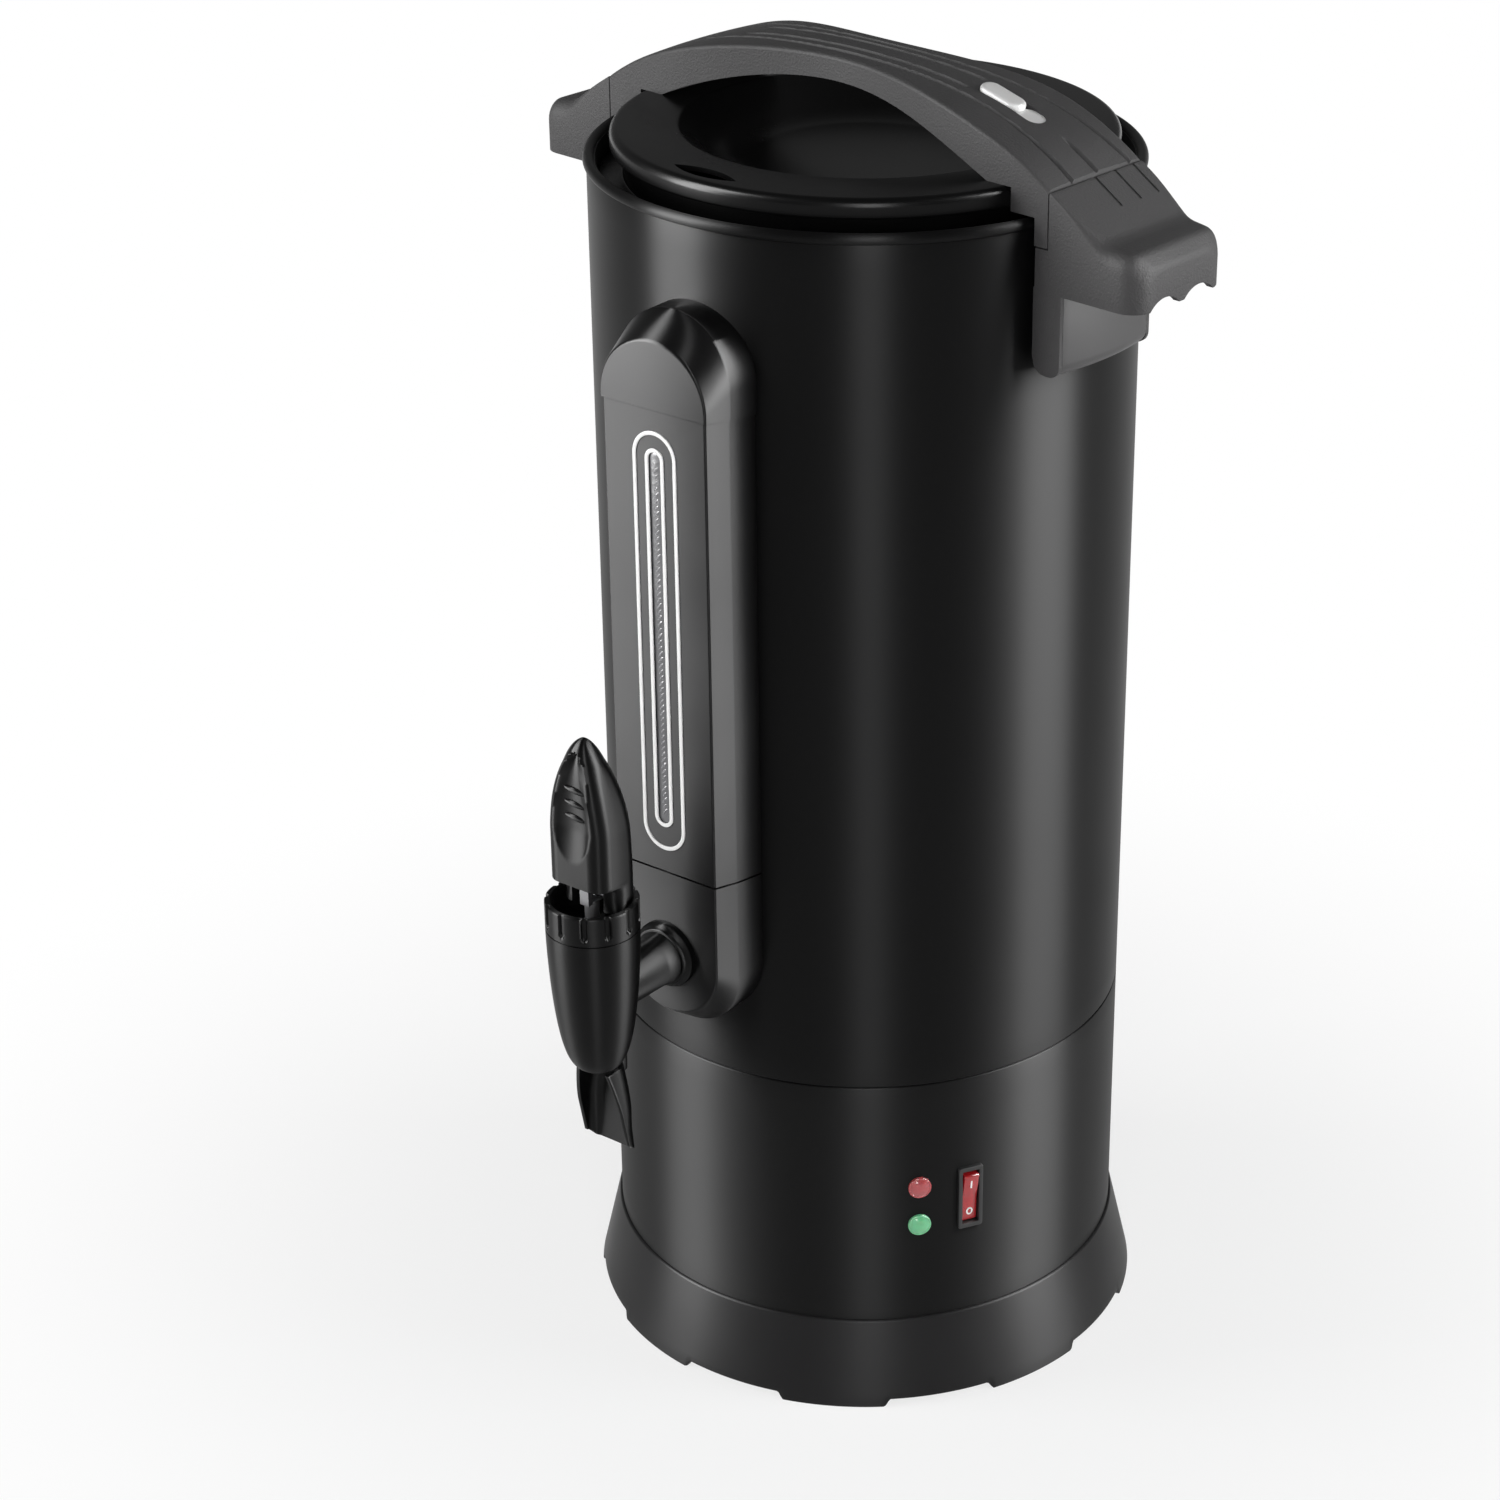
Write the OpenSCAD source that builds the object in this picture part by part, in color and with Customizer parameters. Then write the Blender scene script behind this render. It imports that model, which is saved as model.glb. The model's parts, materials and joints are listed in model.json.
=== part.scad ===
// Electric hot water dispenser: a tall double-walled urn with a sight gauge, a lever tap with a cup
// paddle, a lift-off lid under an arched carrying handle, and two side handles.
// The origin is on the body axis where the feet stand. The tap faces -Y and +Z is up.

/* [Body] */
// Outer radius of the shell
body_r = 112; // [108:1:118]
// Sheet thickness of the shell
shell_wall = 1; // [0.8:0.1:1.4]
// Height of the joint between the lower and the upper shell
seam_z = 157.8; // [152:0.1:162]
// Height of the top edge of the upper shell
shell_top = 527; // [520:1:540]
// Radius of the rolled bead round the mouth
rim_bead = 2.3; // [2.1:0.1:2.6]
// Width of the band that joins the two shells inside
band_h = 16; // [10:1:20]
// Thickness of that band
band_t = 1; // [0.8:0.1:2]

/* [Base] */
// Height of the base ring
base_h = 39.5; // [34:0.5:45]
// How far the foot of the base ring stands outside the shell
base_spread = 10.6; // [8:0.2:14]
// How far the top of the base ring stands outside the shell
base_lip = 1; // [0.6:0.1:2]
// Wall of the base ring
base_wall = 3.2; // [2.5:0.1:4]
// Thickness of the ledge that carries the shell
ledge_t = 3; // [2.5:0.5:4]
// Width of that ledge, inward from the shell
ledge_w = 12; // [10:1:16]
// Thickness of the base plate
plate_t = 2; // [1.5:0.5:3]
// Number of feet
foot_count = 8; // [6:1:10]
// Angle that one foot covers
foot_span = 21.5; // [16:0.5:26]
// Height of the gaps between the feet
foot_h = 3.3; // [2:0.1:5]
// Angle of the first foot from the front
foot_turn = 29.6; // [0:0.1:45]
// Shank radius of the base screws
base_screw_r = 1.6; // [1.4:0.1:2]

/* [Tank] */
// Gap between the tank and the shell
tank_gap = 7; // [6:0.5:8]
// Sheet thickness of the tank
tank_wall = 1; // [0.8:0.1:1.2]
// Height of the underside of the tank
tank_floor = 160; // [150:1:168]
// Depth of the ledge for the lid below the top of the shell
mouth_depth = 9.5; // [8.5:0.5:12]
// How far the inside of the mouth lies inside the shell
mouth_inset = 3.5; // [3:0.1:4]
// Radius of the posts that carry the tank
post_r = 5; // [4:0.5:6]
// Distance of the posts from the axis
post_ring = 76; // [70:1:85]

/* [Heating] */
// Radius of the heater plate
heater_r = 55; // [48:1:60]
// Thickness of the heater plate
heater_t = 6; // [4:0.5:8]
// Radius of the ring that the heating element follows
element_ring = 42; // [38:1:44]
// Radius of the heating element's tube
element_r = 4; // [3:0.5:5]
// Height of the keep-warm band
warm_h = 22; // [16:1:26]
// Thickness of the keep-warm band
warm_t = 1.6; // [1:0.1:2.5]

/* [Controls] */
// Angle of the lamps from the front
lamp_turn = 48.2; // [44:0.1:49]
// Height of the heating lamp
red_z = 106.6; // [103:0.1:112]
// Height of the keep-warm lamp
green_z = 87.7; // [84:0.1:91]
// Radius of a lamp's lens
lamp_r = 5; // [4.5:0.1:5.5]
// Radius of a lamp's barrel
barrel_r = 3.8; // [3.2:0.1:4.2]
// Angle of the switch from the front
switch_turn = 59.8; // [59:0.1:66]
// Height of the middle of the switch
switch_z = 97.8; // [92:0.1:104]
// Width of the switch bezel
switch_w = 11.4; // [11:0.1:13]
// Height of the switch bezel
switch_h = 30.5; // [29:0.5:34]
// Width of the rocker
rocker_w = 6.8; // [6:0.1:7]
// Height of the rocker
rocker_h = 24.4; // [22:0.2:25]
// Angle between the rocker's two settings
rocker_swing = 14; // [10:1:16]
// Height of the middle of the power inlet
inlet_z = 75; // [65:1:90]
// Width of the power inlet's body
inlet_w = 27; // [26:0.5:30]
// Height of the power inlet's body
inlet_h = 20; // [19:0.5:23]

/* [Gauge] */
// How far the face of the gauge stands out from the shell
gauge_proud = 25.2; // [24:0.2:28]
// Half of the width of the gauge housing
gauge_half = 27; // [26:0.5:30]
// Height of the lower end of the gauge housing, at the shell
gauge_low = 186; // [182:1:190]
// Height of the upper end of the gauge housing, at the shell
gauge_high = 497; // [494:0.5:500]
// Inset of the gauge's face at its sides, which its slanted flanks make up
face_inset = 1.7; // [1:0.1:2.5]
// Inset of the gauge's face at its ends
face_end = 9; // [7:0.2:10]
// Depth of the gauge's slanted flanks
flank_deep = 13; // [10:0.5:15]
// Height of the joint above the lower cap
cut_low = 260.5; // [255:0.5:264]
// Height of the joint below the upper cap
cut_high = 460.5; // [456:0.5:464]
// Wall of the gauge housing
gauge_wall = 2.2; // [1.8:0.1:2.6]
// How far the upper cap stands out over the panel
cap_over = 0.8; // [0.4:0.1:1.2]
// Half of the width of the outer trim ring
trim_half = 10.7; // [10:0.1:12]
// Lower end of the outer trim ring
trim_low = 270.3; // [268:0.1:273]
// Upper end of the outer trim ring
trim_high = 452; // [449:0.5:454]
// Half of the width of the window's own trim ring
sight_half = 4.6; // [4.2:0.1:5.4]
// Lower end of the window's trim ring
sight_low = 280.8; // [278:0.2:284]
// Upper end of the window's trim ring
sight_high = 444.9; // [440:0.1:446]
// Width of the line of both trim rings
trim_line = 1.6; // [1.2:0.1:2]
// Height of both trim rings over the panel
trim_t = 0.5; // [0.3:0.1:0.8]
// Set back of the window's pane behind the panel's face
pane_back = 0.4; // [0.2:0.1:1]
// Radius of the sight tube
tube_r = 4; // [3.5:0.1:4.5]
// Wall of the sight tube
tube_wall = 0.8; // [0.6:0.1:1.2]
// Radius of the cups that hold the sight tube
cup_r = 7; // [6.5:0.1:7.5]
// Height of the lower port into the tank
port_low = 252; // [248:0.5:254]
// Height of the upper port into the tank
port_high = 465; // [463:0.5:467]
// Radius of the ports' pipes
port_r = 5; // [4.5:0.1:5.5]
// Radius of the bore through the ports
port_bore = 2.5; // [2:0.1:3]

/* [Tap] */
// Height of the tap's shank
shank_z = 222.5; // [220:0.5:226]
// How far the axis of the tap stands out from the gauge face
tap_reach = 46.3; // [44:0.1:50]
// Radius of the tap where it meets its bonnet
tap_head_r = 19; // [18.5:0.1:20]
// Height of the top of the tap body above the shank
tap_up = 33.5; // [32.5:0.5:36]
// Depth of the spout's mouth below the shank
tap_down = 32.1; // [31.5:0.1:34]
// Outer radius of the spout's mouth
spout_r = 6.4; // [6.2:0.1:7]
// Radius of the visible part of the shank
shank_r = 10.8; // [10.2:0.1:11.5]
// Radius of the threaded part of the shank
thread_r = 9; // [8.5:0.1:9.5]
// Bore of the shank
shank_bore = 6; // [5:0.1:6.5]
// Radius of the collar on the gauge face
collar_r = 14.5; // [13.5:0.1:16]
// Depth of that collar
collar_t = 5.8; // [5:0.1:8]
// Radius of the chamber in the tap
chamber_r = 11; // [10.5:0.1:11.5]
// Radius of the bore in the valve seat
seat_bore = 6; // [5.5:0.1:6.5]
// Thickness of the valve seat
seat_t = 4; // [3.5:0.1:4.5]
// Height of the bonnet
bonnet_h = 12.7; // [12:0.1:14]
// Wall of the bonnet
bonnet_wall = 2.7; // [2.4:0.1:2.9]
// Number of grip grooves round the bonnet
groove_count = 12; // [8:1:16]
// Width of a grip groove
groove_w = 2.4; // [1.6:0.1:3]
// Depth of a grip groove
groove_d = 1.2; // [0.8:0.1:1.4]

/* [Lever] */
// Half of the width of the lever
lever_half = 14.5; // [13.8:0.1:15]
// Half of the width of the lever's foot, which dips into the bonnet
lever_foot = 12.4; // [12:0.1:13]
// How far the lever's foot lies in front of the tap's axis
foot_front = 9; // [8.6:0.1:9.4]
// Height of the tip of the lever above the bonnet
lever_h = 71.3; // [66:0.5:80]
// How far the lever's front lies in front of the tap's axis
lever_front = 10.9; // [10:0.1:11.4]
// How far the lever's back lies behind the tap's axis
lever_back = 12.9; // [12:0.1:13.4]
// How far the lever's pin lies behind the tap's axis
pivot_back = 7.5; // [7:0.1:8]
// Height of the lever's pin above the top of the tap body
pivot_up = 16; // [15.5:0.1:17]
// Radius of the lever's pin
lever_pin_r = 1.6; // [1.4:0.1:1.8]
// Radius of the pin that drives the stem
link_pin_r = 1.3; // [1.1:0.1:1.5]
// Radius of the stem
stem_r = 3; // [2.6:0.1:3.2]

/* [Paddle] */
// Half of the width of the cup paddle
paddle_half = 12; // [11:0.1:13]
// Wall of the cup paddle
paddle_wall = 1.7; // [1.4:0.1:2]
// Height of the paddle's lower end
paddle_low = 150; // [145:0.5:156]
// Depth of the paddle's trough
paddle_depth = 9.7; // [9:0.1:11]
// How far the paddle's pin lies behind the tap's axis
paddle_back = 10.7; // [10.4:0.1:11]
// Depth of the paddle's pin below the shank
paddle_drop = 23; // [22.6:0.1:23.4]
// Radius of the paddle's pin
paddle_pin_r = 1.2; // [1:0.1:1.3]

/* [Lid] */
// Turn of the lid and of the side handles from the gauge
top_turn = 5.5; // [0:0.5:8]
// Gap between the lid's rim and the inside of the mouth
lid_gap = 6; // [5:0.5:8]
// Height of the lid's top above the shell
lid_up = 14.5; // [13.5:0.5:16]
// Height of the lower edge of the lid's rim above the shell
lid_edge_up = 6.5; // [5.5:0.5:7.5]
// Radius of the mouth of the lid's dish
dish_r = 74; // [70:1:77]
// Radius of the floor of the lid's dish
dish_floor_r = 50; // [44:1:56]
// Depth of the lid's dish
dish_depth = 14.5; // [10:0.5:17]
// Wall of the lid
lid_wall = 2; // [1.6:0.1:2.4]
// Length of the steam vent
vent_l = 33; // [26:0.5:38]
// Width of the steam vent
vent_w = 9; // [6:0.5:11]

/* [Arched handle] */
// How far the joint with the side handles lies outside the shell
joint_out = 5; // [4.6:0.1:6]
// Half of the width of the arch at its ends, and of the side handles
arch_half = 28; // [26:0.5:30]
// Half of the width of the arch at its waist
waist_half = 17; // [15:0.5:20]
// Height of the middle of the arch above the shell
arch_up = 45; // [43:0.5:48]
// How far the ends of the arch lie below its middle
arch_drop = 27.2; // [26.4:0.1:28]
// Height of the underside of the arch above the shell
arch_under = 34.3; // [33:0.1:35]
// Radius of the underside of the arch
arch_under_r = 200; // [190:1:215]
// Wall of the arch
arch_wall = 3; // [2.5:0.1:3.5]
// Thickness of the arch's cover
cover_t = 3; // [2.5:0.1:3.2]
// Width of the rim round the cover
cover_rim = 1.5; // [1:0.1:2]
// Distance of the lock's slot from the arch's end
lock_back = 41; // [40:0.5:42]
// Length of the lock's slot
slot_l = 32; // [31:0.5:34]
// Half of the width of the lock's slot
slot_half = 5; // [4.5:0.1:5.5]
// Travel of the lock
lock_travel = 9; // [6:0.5:9]

/* [Side handles] */
// How far a side handle stands out from the shell
grip_out = 48.5; // [44:0.5:52]
// Height of the low top of a side handle relative to the top of the shell
grip_top = -1.2; // [-4:0.2:0]
// Depth of a side handle below the top of the shell
grip_low = 23.5; // [21:0.5:26]
// Wall of a side handle
grip_wall = 3; // [2.5:0.1:3.5]
// Depth of the lower end of a side handle's pad below the top of the shell
pad_low = 57; // [50:0.5:62]
// How far the pad of a side handle stands out from the shell
pad_out = 15; // [13.5:0.2:17]
// Shadow gap between a side handle and the shell
shadow_gap = 2.8; // [2:0.1:3.2]
// Depth of the finger hollows in a side handle's lower edge
finger_d = 4; // [2:0.5:5]
// Shank radius of the screws in the handles
screw_r = 2; // [1.6:0.1:2.4]

/* [Clearances] */
// Running clearance between a pin and its bore
run_fit = 0.05; // [0.03:0.01:0.08]
// Gap between pieces that move past each other
free_gap = 0.4; // [0.3:0.05:0.6]
// Gap under the lid's seal
seat_gap = 0.1; // [0.05:0.05:0.3]

/* [Hidden] */
$fn = 96;
fine = 720;
eps = 1;

// Heights and radii that follow from the sizes above
shell_in = body_r - shell_wall;
tank_r = shell_in - tank_gap;
tank_in = tank_r - tank_wall;
mouth_r = body_r - mouth_inset;
mouth_z = shell_top - mouth_depth;
rim_r = body_r - 0.8;
rim_z = shell_top + 2;
rim_top = rim_z + rim_bead;
foot_r = body_r + base_spread;
base_top_r = body_r + base_lip;
ledge_in = body_r - ledge_w;
plate_top = base_h - ledge_t;
plate_low = plate_top - plate_t;
base_screw_ring = ledge_in + 4;
heater_low = tank_floor - heater_t;

face_y = -(body_r + gauge_proud);
tube_y = face_y + gauge_wall + 0.6 + cup_r;
bracket_y = -(body_r + 4);
bracket_t = 2.5;
bracket_half = 20;
bracket_top = cut_high + 13;
bracket_low = port_low - 12;
panel_post_z = [trim_low + 6, trim_high - 6];
cup_end = 1.5;
cup_low_z = port_low - port_r - cup_end;
cup_low_top = port_low + 20;
cup_high_low = port_high - 14;
cup_high_top = port_high + port_r + cup_end;
tube_seat = 10;
well_r = tube_r - tube_wall;

tap_y = face_y - tap_reach;
tap_top = shank_z + tap_up;
tap_low = shank_z - tap_down;
seat_top = shank_z - 10.5;
seat_low = seat_top - seat_t;
outlet_r = chamber_r - 2.1;
outlet_low = tap_low + 3.2;
spout_bore = spout_r - 1.2;
bonnet_r = tap_head_r - bonnet_wall;
bonnet_top = tap_top + bonnet_h;
bonnet_floor = 2;
pivot_y = tap_y + pivot_back;
pivot_z = tap_top + pivot_up;
lever_top = bonnet_top + lever_h;
lever_low = pivot_z - 6.4;
cheek_in = 8.2;
pin_half = 10.6;
link_slot = link_pin_r + free_gap;
paddle_y = tap_y + paddle_back;
paddle_z = shank_z - paddle_drop;
paddle_slot = 5.2;
trip_pin_r = paddle_pin_r;
hub_r = 2.6;
poppet_r = outlet_r - 1.9;
poppet_top = seat_low - free_gap;
poppet_low = poppet_top - 4.2;
spring_top = shank_z + 9.5;

lid_r = mouth_r - lid_gap;
lid_top = shell_top + lid_up;
lid_edge = shell_top + lid_edge_up;
lid_floor = lid_top - dish_depth;
neck_r = lid_r - 5.5;
flange_r = mouth_r - 1;
gasket_t = 2;
flange_low = mouth_z + seat_gap + gasket_t;
gasket_in = tank_in + 0.4;
liner_r = neck_r + 1;
liner_flange = liner_r + 3;
liner_wall = 1;
liner_depth = 8.5;
liner_low = mouth_z - liner_depth;
liner_screw_ring = liner_r + 1.4;

arch_end = body_r + joint_out;
arch_top = shell_top + arch_up;
rest_z = rim_top + 0.7;
lip_r = body_r + 2.2;
lip_low = shell_top - 6;
leg_inset = 8.5;
leg_x = lid_r - leg_inset;
arch_screw_reach = 8.5;
screw_room = 0.5;
leg_y = arch_half / 2;

function arch_fall(x) = arch_drop * (pow(x / arch_end, 2) + pow(x / arch_end, 4)) / 2;
function arch_z(x) = arch_top - arch_fall(x);
function arch_swell(x) = (1 - cos(180 * min(abs(x) / waist_reach, 1))) / 2;
function arch_w(x) = waist_half + (arch_half - waist_half) * arch_swell(x);
waist_reach = 0.75 * arch_end;
arch_steps = 24;
arch_xs = [for (i = [-arch_steps : arch_steps]) arch_end * i / arch_steps];

// The lock slides along the tangent of the arch at its slot
lock_x = arch_end - lock_back;
lock_z = arch_z(lock_x);
lock_slope = atan(arch_drop * (lock_x / pow(arch_end, 2) + 2 * pow(lock_x, 3) / pow(arch_end, 4)));
slide_top = -4.4;
slide_t = 2;
slot_reach = 20;
thumb_half = slot_half - 0.35;
thumb_l = slot_l - lock_travel - 2;
bolt_half = 2.5;
bolt_low = -17.1;
bolt_top = -13.6;
bolt_set_back = 4.4;
bolt_tip = (arch_end - bolt_set_back - lock_x + abs(bolt_top) * sin(lock_slope)) / cos(lock_slope);

grip_x = body_r + grip_out;
grip_in = arch_end + 0.35;
grip_step = lip_low - 0.5;
grip_top_z = shell_top + grip_top;
grip_low_z = shell_top - grip_low;
grip_crest = arch_z(arch_end) - 1.5;
pad_r = body_r + pad_out;
pad_low_z = shell_top - pad_low;
pad_half = arch_half - 1.7;
finger_pitch = 21;

// Helpers: an angle from the front, the turned top set, prisms, rods, rings and a stadium outline
module from_front(turn) {
  rotate([0, 0, turn]) children();
}

module top_set() {
  rotate([0, 0, -top_turn]) children();
}

module prism_y(low, high) {
  translate([0, high, 0]) rotate([90, 0, 0]) linear_extrude(high - low) children();
}

module prism_x(low, high) {
  translate([low, 0, 0]) rotate([90, 0, 90]) linear_extrude(high - low) children();
}

module rod_y(r, low, high, x, z) {
  translate([x, high, z]) rotate([90, 0, 0]) cylinder(r = r, h = high - low);
}

module rod_x(r, low, high, y, z) {
  translate([low, y, z]) rotate([0, 90, 0]) cylinder(r = r, h = high - low);
}

module rod_z(r, low, high) {
  translate([0, 0, low]) cylinder(r = r, h = high - low);
}

module ring(r_in, r_out, low, high) {
  difference() {
    rod_z(r_out, low, high);
    rod_z(r_in, low - eps, high + eps);
  }
}

module block(x, y, z) {
  translate([x[0], y[0], z[0]]) cube([x[1] - x[0], y[1] - y[0], z[1] - z[0]]);
}

module stadium(half, low, high) {
  translate([0, low + half]) circle(half);
  translate([0, high - half]) circle(half);
  translate([-half, low + half]) square([2 * half, high - low - 2 * half]);
}

module rounded(x, y, r) {
  translate([x[0] + r, y[0]]) square([x[1] - x[0] - 2 * r, y[1] - y[0]]);
  translate([x[0], y[0] + r]) square([x[1] - x[0], y[1] - y[0] - 2 * r]);
  for (cx = [x[0] + r, x[1] - r]) {
    for (cy = [y[0] + r, y[1] - r]) {
      translate([cx, cy]) circle(r);
    }
  }
}

// Base
module base_screw_places() {
  for (i = [0 : 3]) {
    from_front(45 + 90 * i) translate([0, -base_screw_ring, 0]) children();
  }
}

module base_ring() {
  gap = 360 / foot_count - foot_span;
  color("#1b1a1b") difference() {
    rotate_extrude() polygon([
      [foot_r - base_wall, 0],
      [foot_r, 0],
      [base_top_r, base_h],
      [ledge_in, base_h],
      [ledge_in, plate_top],
      [base_top_r - base_wall, plate_top]
    ]);
    for (i = [0 : foot_count - 1]) {
      from_front(foot_turn + 360 * (i + 0.5) / foot_count) translate([0, 0, -eps])
        linear_extrude(foot_h + eps) polygon([
          [0, 0],
          [-2 * foot_r * tan(gap / 2), -2 * foot_r],
          [2 * foot_r * tan(gap / 2), -2 * foot_r]
        ]);
    }
    base_screw_places() rod_z(base_screw_r + run_fit, plate_top - eps, base_h + eps);
  }
}

module base_plate() {
  vent_count = 12;
  vent_ring = 62;
  color("#55565a") difference() {
    rod_z(base_screw_ring + 4, plate_low, plate_top);
    base_screw_places() rod_z(base_screw_r + run_fit, plate_low - eps, plate_top + eps);
    for (i = [0 : vent_count - 1]) {
      from_front(360 * i / vent_count) translate([0, -vent_ring, 0])
        rod_z(4, plate_low - eps, plate_top + eps);
    }
  }
}

module base_screws() {
  head_r = 2 * base_screw_r;
  head_t = 1.2 * base_screw_r;
  color("#8a8c90") base_screw_places() {
    rod_z(head_r, plate_low - head_t, plate_low);
    rod_z(base_screw_r, plate_low - head_t, base_h - 0.4);
  }
}

module tank_posts() {
  color("#7d7f83") for (i = [0 : 2]) {
    from_front(90 + 120 * i) translate([0, -post_ring, 0]) rod_z(post_r, plate_top, tank_floor);
  }
}

// Shells and tank
module lower_shell() {
  color("#1d1c1e") difference() {
    ring(shell_in, body_r, base_h, seam_z);
    for (z = [red_z, green_z]) {
      from_front(lamp_turn) rod_y(barrel_r + run_fit, -body_r - eps, -shell_in + 2 * eps, 0, z);
    }
    from_front(switch_turn) block(
      [-switch_body_half - run_fit, switch_body_half + run_fit],
      [-body_r - eps, -shell_in + 2 * eps],
      [switch_z - switch_body_up - run_fit, switch_z + switch_body_up + run_fit]
    );
    from_front(180) block(
      [-inlet_w / 2 - run_fit, inlet_w / 2 + run_fit],
      [-body_r - eps, -shell_in + 4 * eps],
      [inlet_z - inlet_h / 2 - run_fit, inlet_z + inlet_h / 2 + run_fit]
    );
  }
}

module side_screw_places() {
  for (side = [0, 1]) {
    for (z = side_screw_z) {
      top_set() mirror([side, 0, 0]) translate([0, 0, z]) children();
    }
  }
}
side_screw_z = [pad_low_z + 16, grip_low_z + 7];

module upper_shell() {
  reach = body_r - shell_wall - 2 * eps;
  color("#1d1c1e") difference() {
    ring(shell_in, body_r, seam_z, shell_top);
    rod_y(thread_r + run_fit, -body_r - eps, -reach, 0, shank_z);
    for (z = [port_low, port_high]) {
      rod_y(port_r + run_fit, -body_r - eps, -reach, 0, z);
    }
    side_screw_places() rod_x(screw_r + run_fit, reach, body_r + eps, 0, 0);
  }
}

module seam_band() {
  color("#6c6e72") ring(shell_in - band_t, shell_in, seam_z - band_h / 2, seam_z + band_h / 2);
}

module inner_tank() {
  color("#8f9195") difference() {
    rotate_extrude() union() {
      polygon([
        [0, tank_floor],
        [tank_r, tank_floor],
        [tank_r, mouth_z - tank_wall],
        [mouth_r + tank_wall, mouth_z - tank_wall],
        [mouth_r + tank_wall, rim_z],
        [mouth_r, rim_z],
        [mouth_r, mouth_z],
        [tank_in, mouth_z],
        [tank_in, tank_floor + tank_wall],
        [0, tank_floor + tank_wall]
      ]);
      difference() {
        translate([rim_r, rim_z]) circle(rim_bead);
        translate([rim_r - 2 * rim_bead, shell_top - 2 * rim_bead]) square([4 * rim_bead, 2 * rim_bead]);
      }
    }
    rod_y(thread_r + run_fit, -tank_r - eps, -tank_in + 2 * eps, 0, shank_z);
    for (z = [port_low, port_high]) {
      rod_y(port_bore, -tank_r - eps, -tank_in + 2 * eps, 0, z);
    }
  }
}

// Heating and wiring points under the tank
module heater_plate() {
  color("#a6a8ab") rod_z(heater_r, heater_low, tank_floor);
}

module heating_element() {
  pin_len = 18;
  color("#77736c") translate([0, 0, heater_low - element_r]) {
    rotate_extrude() translate([element_ring, 0]) circle(element_r);
    for (turn = [-9, 9]) {
      from_front(180 + turn) translate([0, -element_ring, 0]) rod_z(element_r / 2, -pin_len, 0);
    }
  }
}

module keep_warm_band() {
  lift = 8;
  color("#b08d57") ring(tank_r, tank_r + warm_t, tank_floor + lift, tank_floor + lift + warm_h);
}

module thermostat() {
  can_h = 12;
  color("#c9c6bd") translate([0, 0, heater_low - can_h]) {
    rod_z(9, 0, can_h);
    for (x = [-5, 5]) {
      block([x - 1.6, x + 1.6], [-0.4, 0.4], [-8, 0]);
    }
  }
}

module thermal_cutout() {
  can_h = 8;
  color("#d8d6cf") translate([0, element_ring / 2, heater_low - can_h]) {
    rod_z(5.5, 0, can_h);
    for (x = [-3, 3]) {
      block([x - 1.6, x + 1.6], [-0.4, 0.4], [-7, 0]);
    }
  }
}

module terminal_block() {
  block_l = 42;
  block_d = 16;
  block_h = 14;
  ways = 4;
  color("#e4e1d6") translate([0, 20, plate_top]) difference() {
    block([-block_l / 2, block_l / 2], [-block_d / 2, block_d / 2], [0, block_h]);
    for (i = [0 : ways - 1]) {
      x = block_l * ((i + 0.5) / ways - 0.5);
      rod_y(2, -block_d, block_d, x, block_h / 2 - 2);
      translate([x, 0, 0]) rod_z(2.2, block_h / 2 - 2, block_h + eps);
    }
  }
}

// Lamps, switch and power inlet
lens_h = 2.6;
lens_ball = 9.6;
barrel_l = 12;
module lamp(z) {
  from_front(lamp_turn) translate([0, -body_r, z]) rotate([90, 0, 0]) {
    intersection() {
      rod_z(lamp_r, 0, lens_h);
      translate([0, 0, lens_h - lens_ball]) sphere(lens_ball);
    }
    rod_z(barrel_r, -barrel_l, eps);
  }
}

module red_lamp() {
  color("#b34a4a") lamp(red_z);
}

module green_lamp() {
  color("#6dc58c") lamp(green_z);
}

module lamp_nuts() {
  nut_t = 3.5;
  color("#2a2a2c") intersection() {
    for (z = [red_z, green_z]) {
      from_front(lamp_turn) translate([0, -shell_in, z]) rotate([90, 0, 0])
        ring(barrel_r + run_fit, barrel_r + 2.6, -nut_t, eps);
    }
    rod_z(shell_in, base_h, seam_z, $fn = fine);
  }
}

switch_body_half = switch_w / 2 - 0.6;
switch_body_up = switch_h / 2 - 1;
switch_proud = 1.6;
switch_deep = 20;
rocker_y = -(body_r - 3.5);
rocker_gap_x = rocker_w / 2 + free_gap;
rocker_gap_z = rocker_h / 2 + 0.9;
trunnion_r = 1.2;
module switch_frame() {
  color("#161617") from_front(switch_turn) difference() {
    union() {
      difference() {
        block([-switch_w / 2, switch_w / 2], [-body_r - switch_proud, -body_r + 2],
          [switch_z - switch_h / 2, switch_z + switch_h / 2]);
        rod_z(body_r, 0, shell_top);
      }
      block([-switch_body_half, switch_body_half], [-body_r, -body_r + switch_deep],
        [switch_z - switch_body_up, switch_z + switch_body_up]);
    }
    block([-rocker_gap_x, rocker_gap_x], [-body_r - 2 * switch_proud, -body_r + 0.7 * switch_deep],
      [switch_z - rocker_gap_z, switch_z + rocker_gap_z]);
    rod_x(trunnion_r + run_fit, -switch_w, switch_w, rocker_y, switch_z);
  }
}

module switch_rocker() {
  up = rocker_h / 2;
  color("#b01f24") from_front(switch_turn) translate([0, rocker_y, switch_z]) {
    rotate([rocker_swing / 2, 0, 0]) prism_x(-rocker_w / 2, rocker_w / 2) polygon([
      [-4.8, up],
      [-3.8, 0],
      [-4.8, -up],
      [-1, -up],
      [3, -up / 2],
      [3, up / 2],
      [-1, up]
    ]);
    rod_x(trunnion_r, -switch_body_half + 0.3, switch_body_half - 0.3, 0, 0);
  }
}

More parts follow.
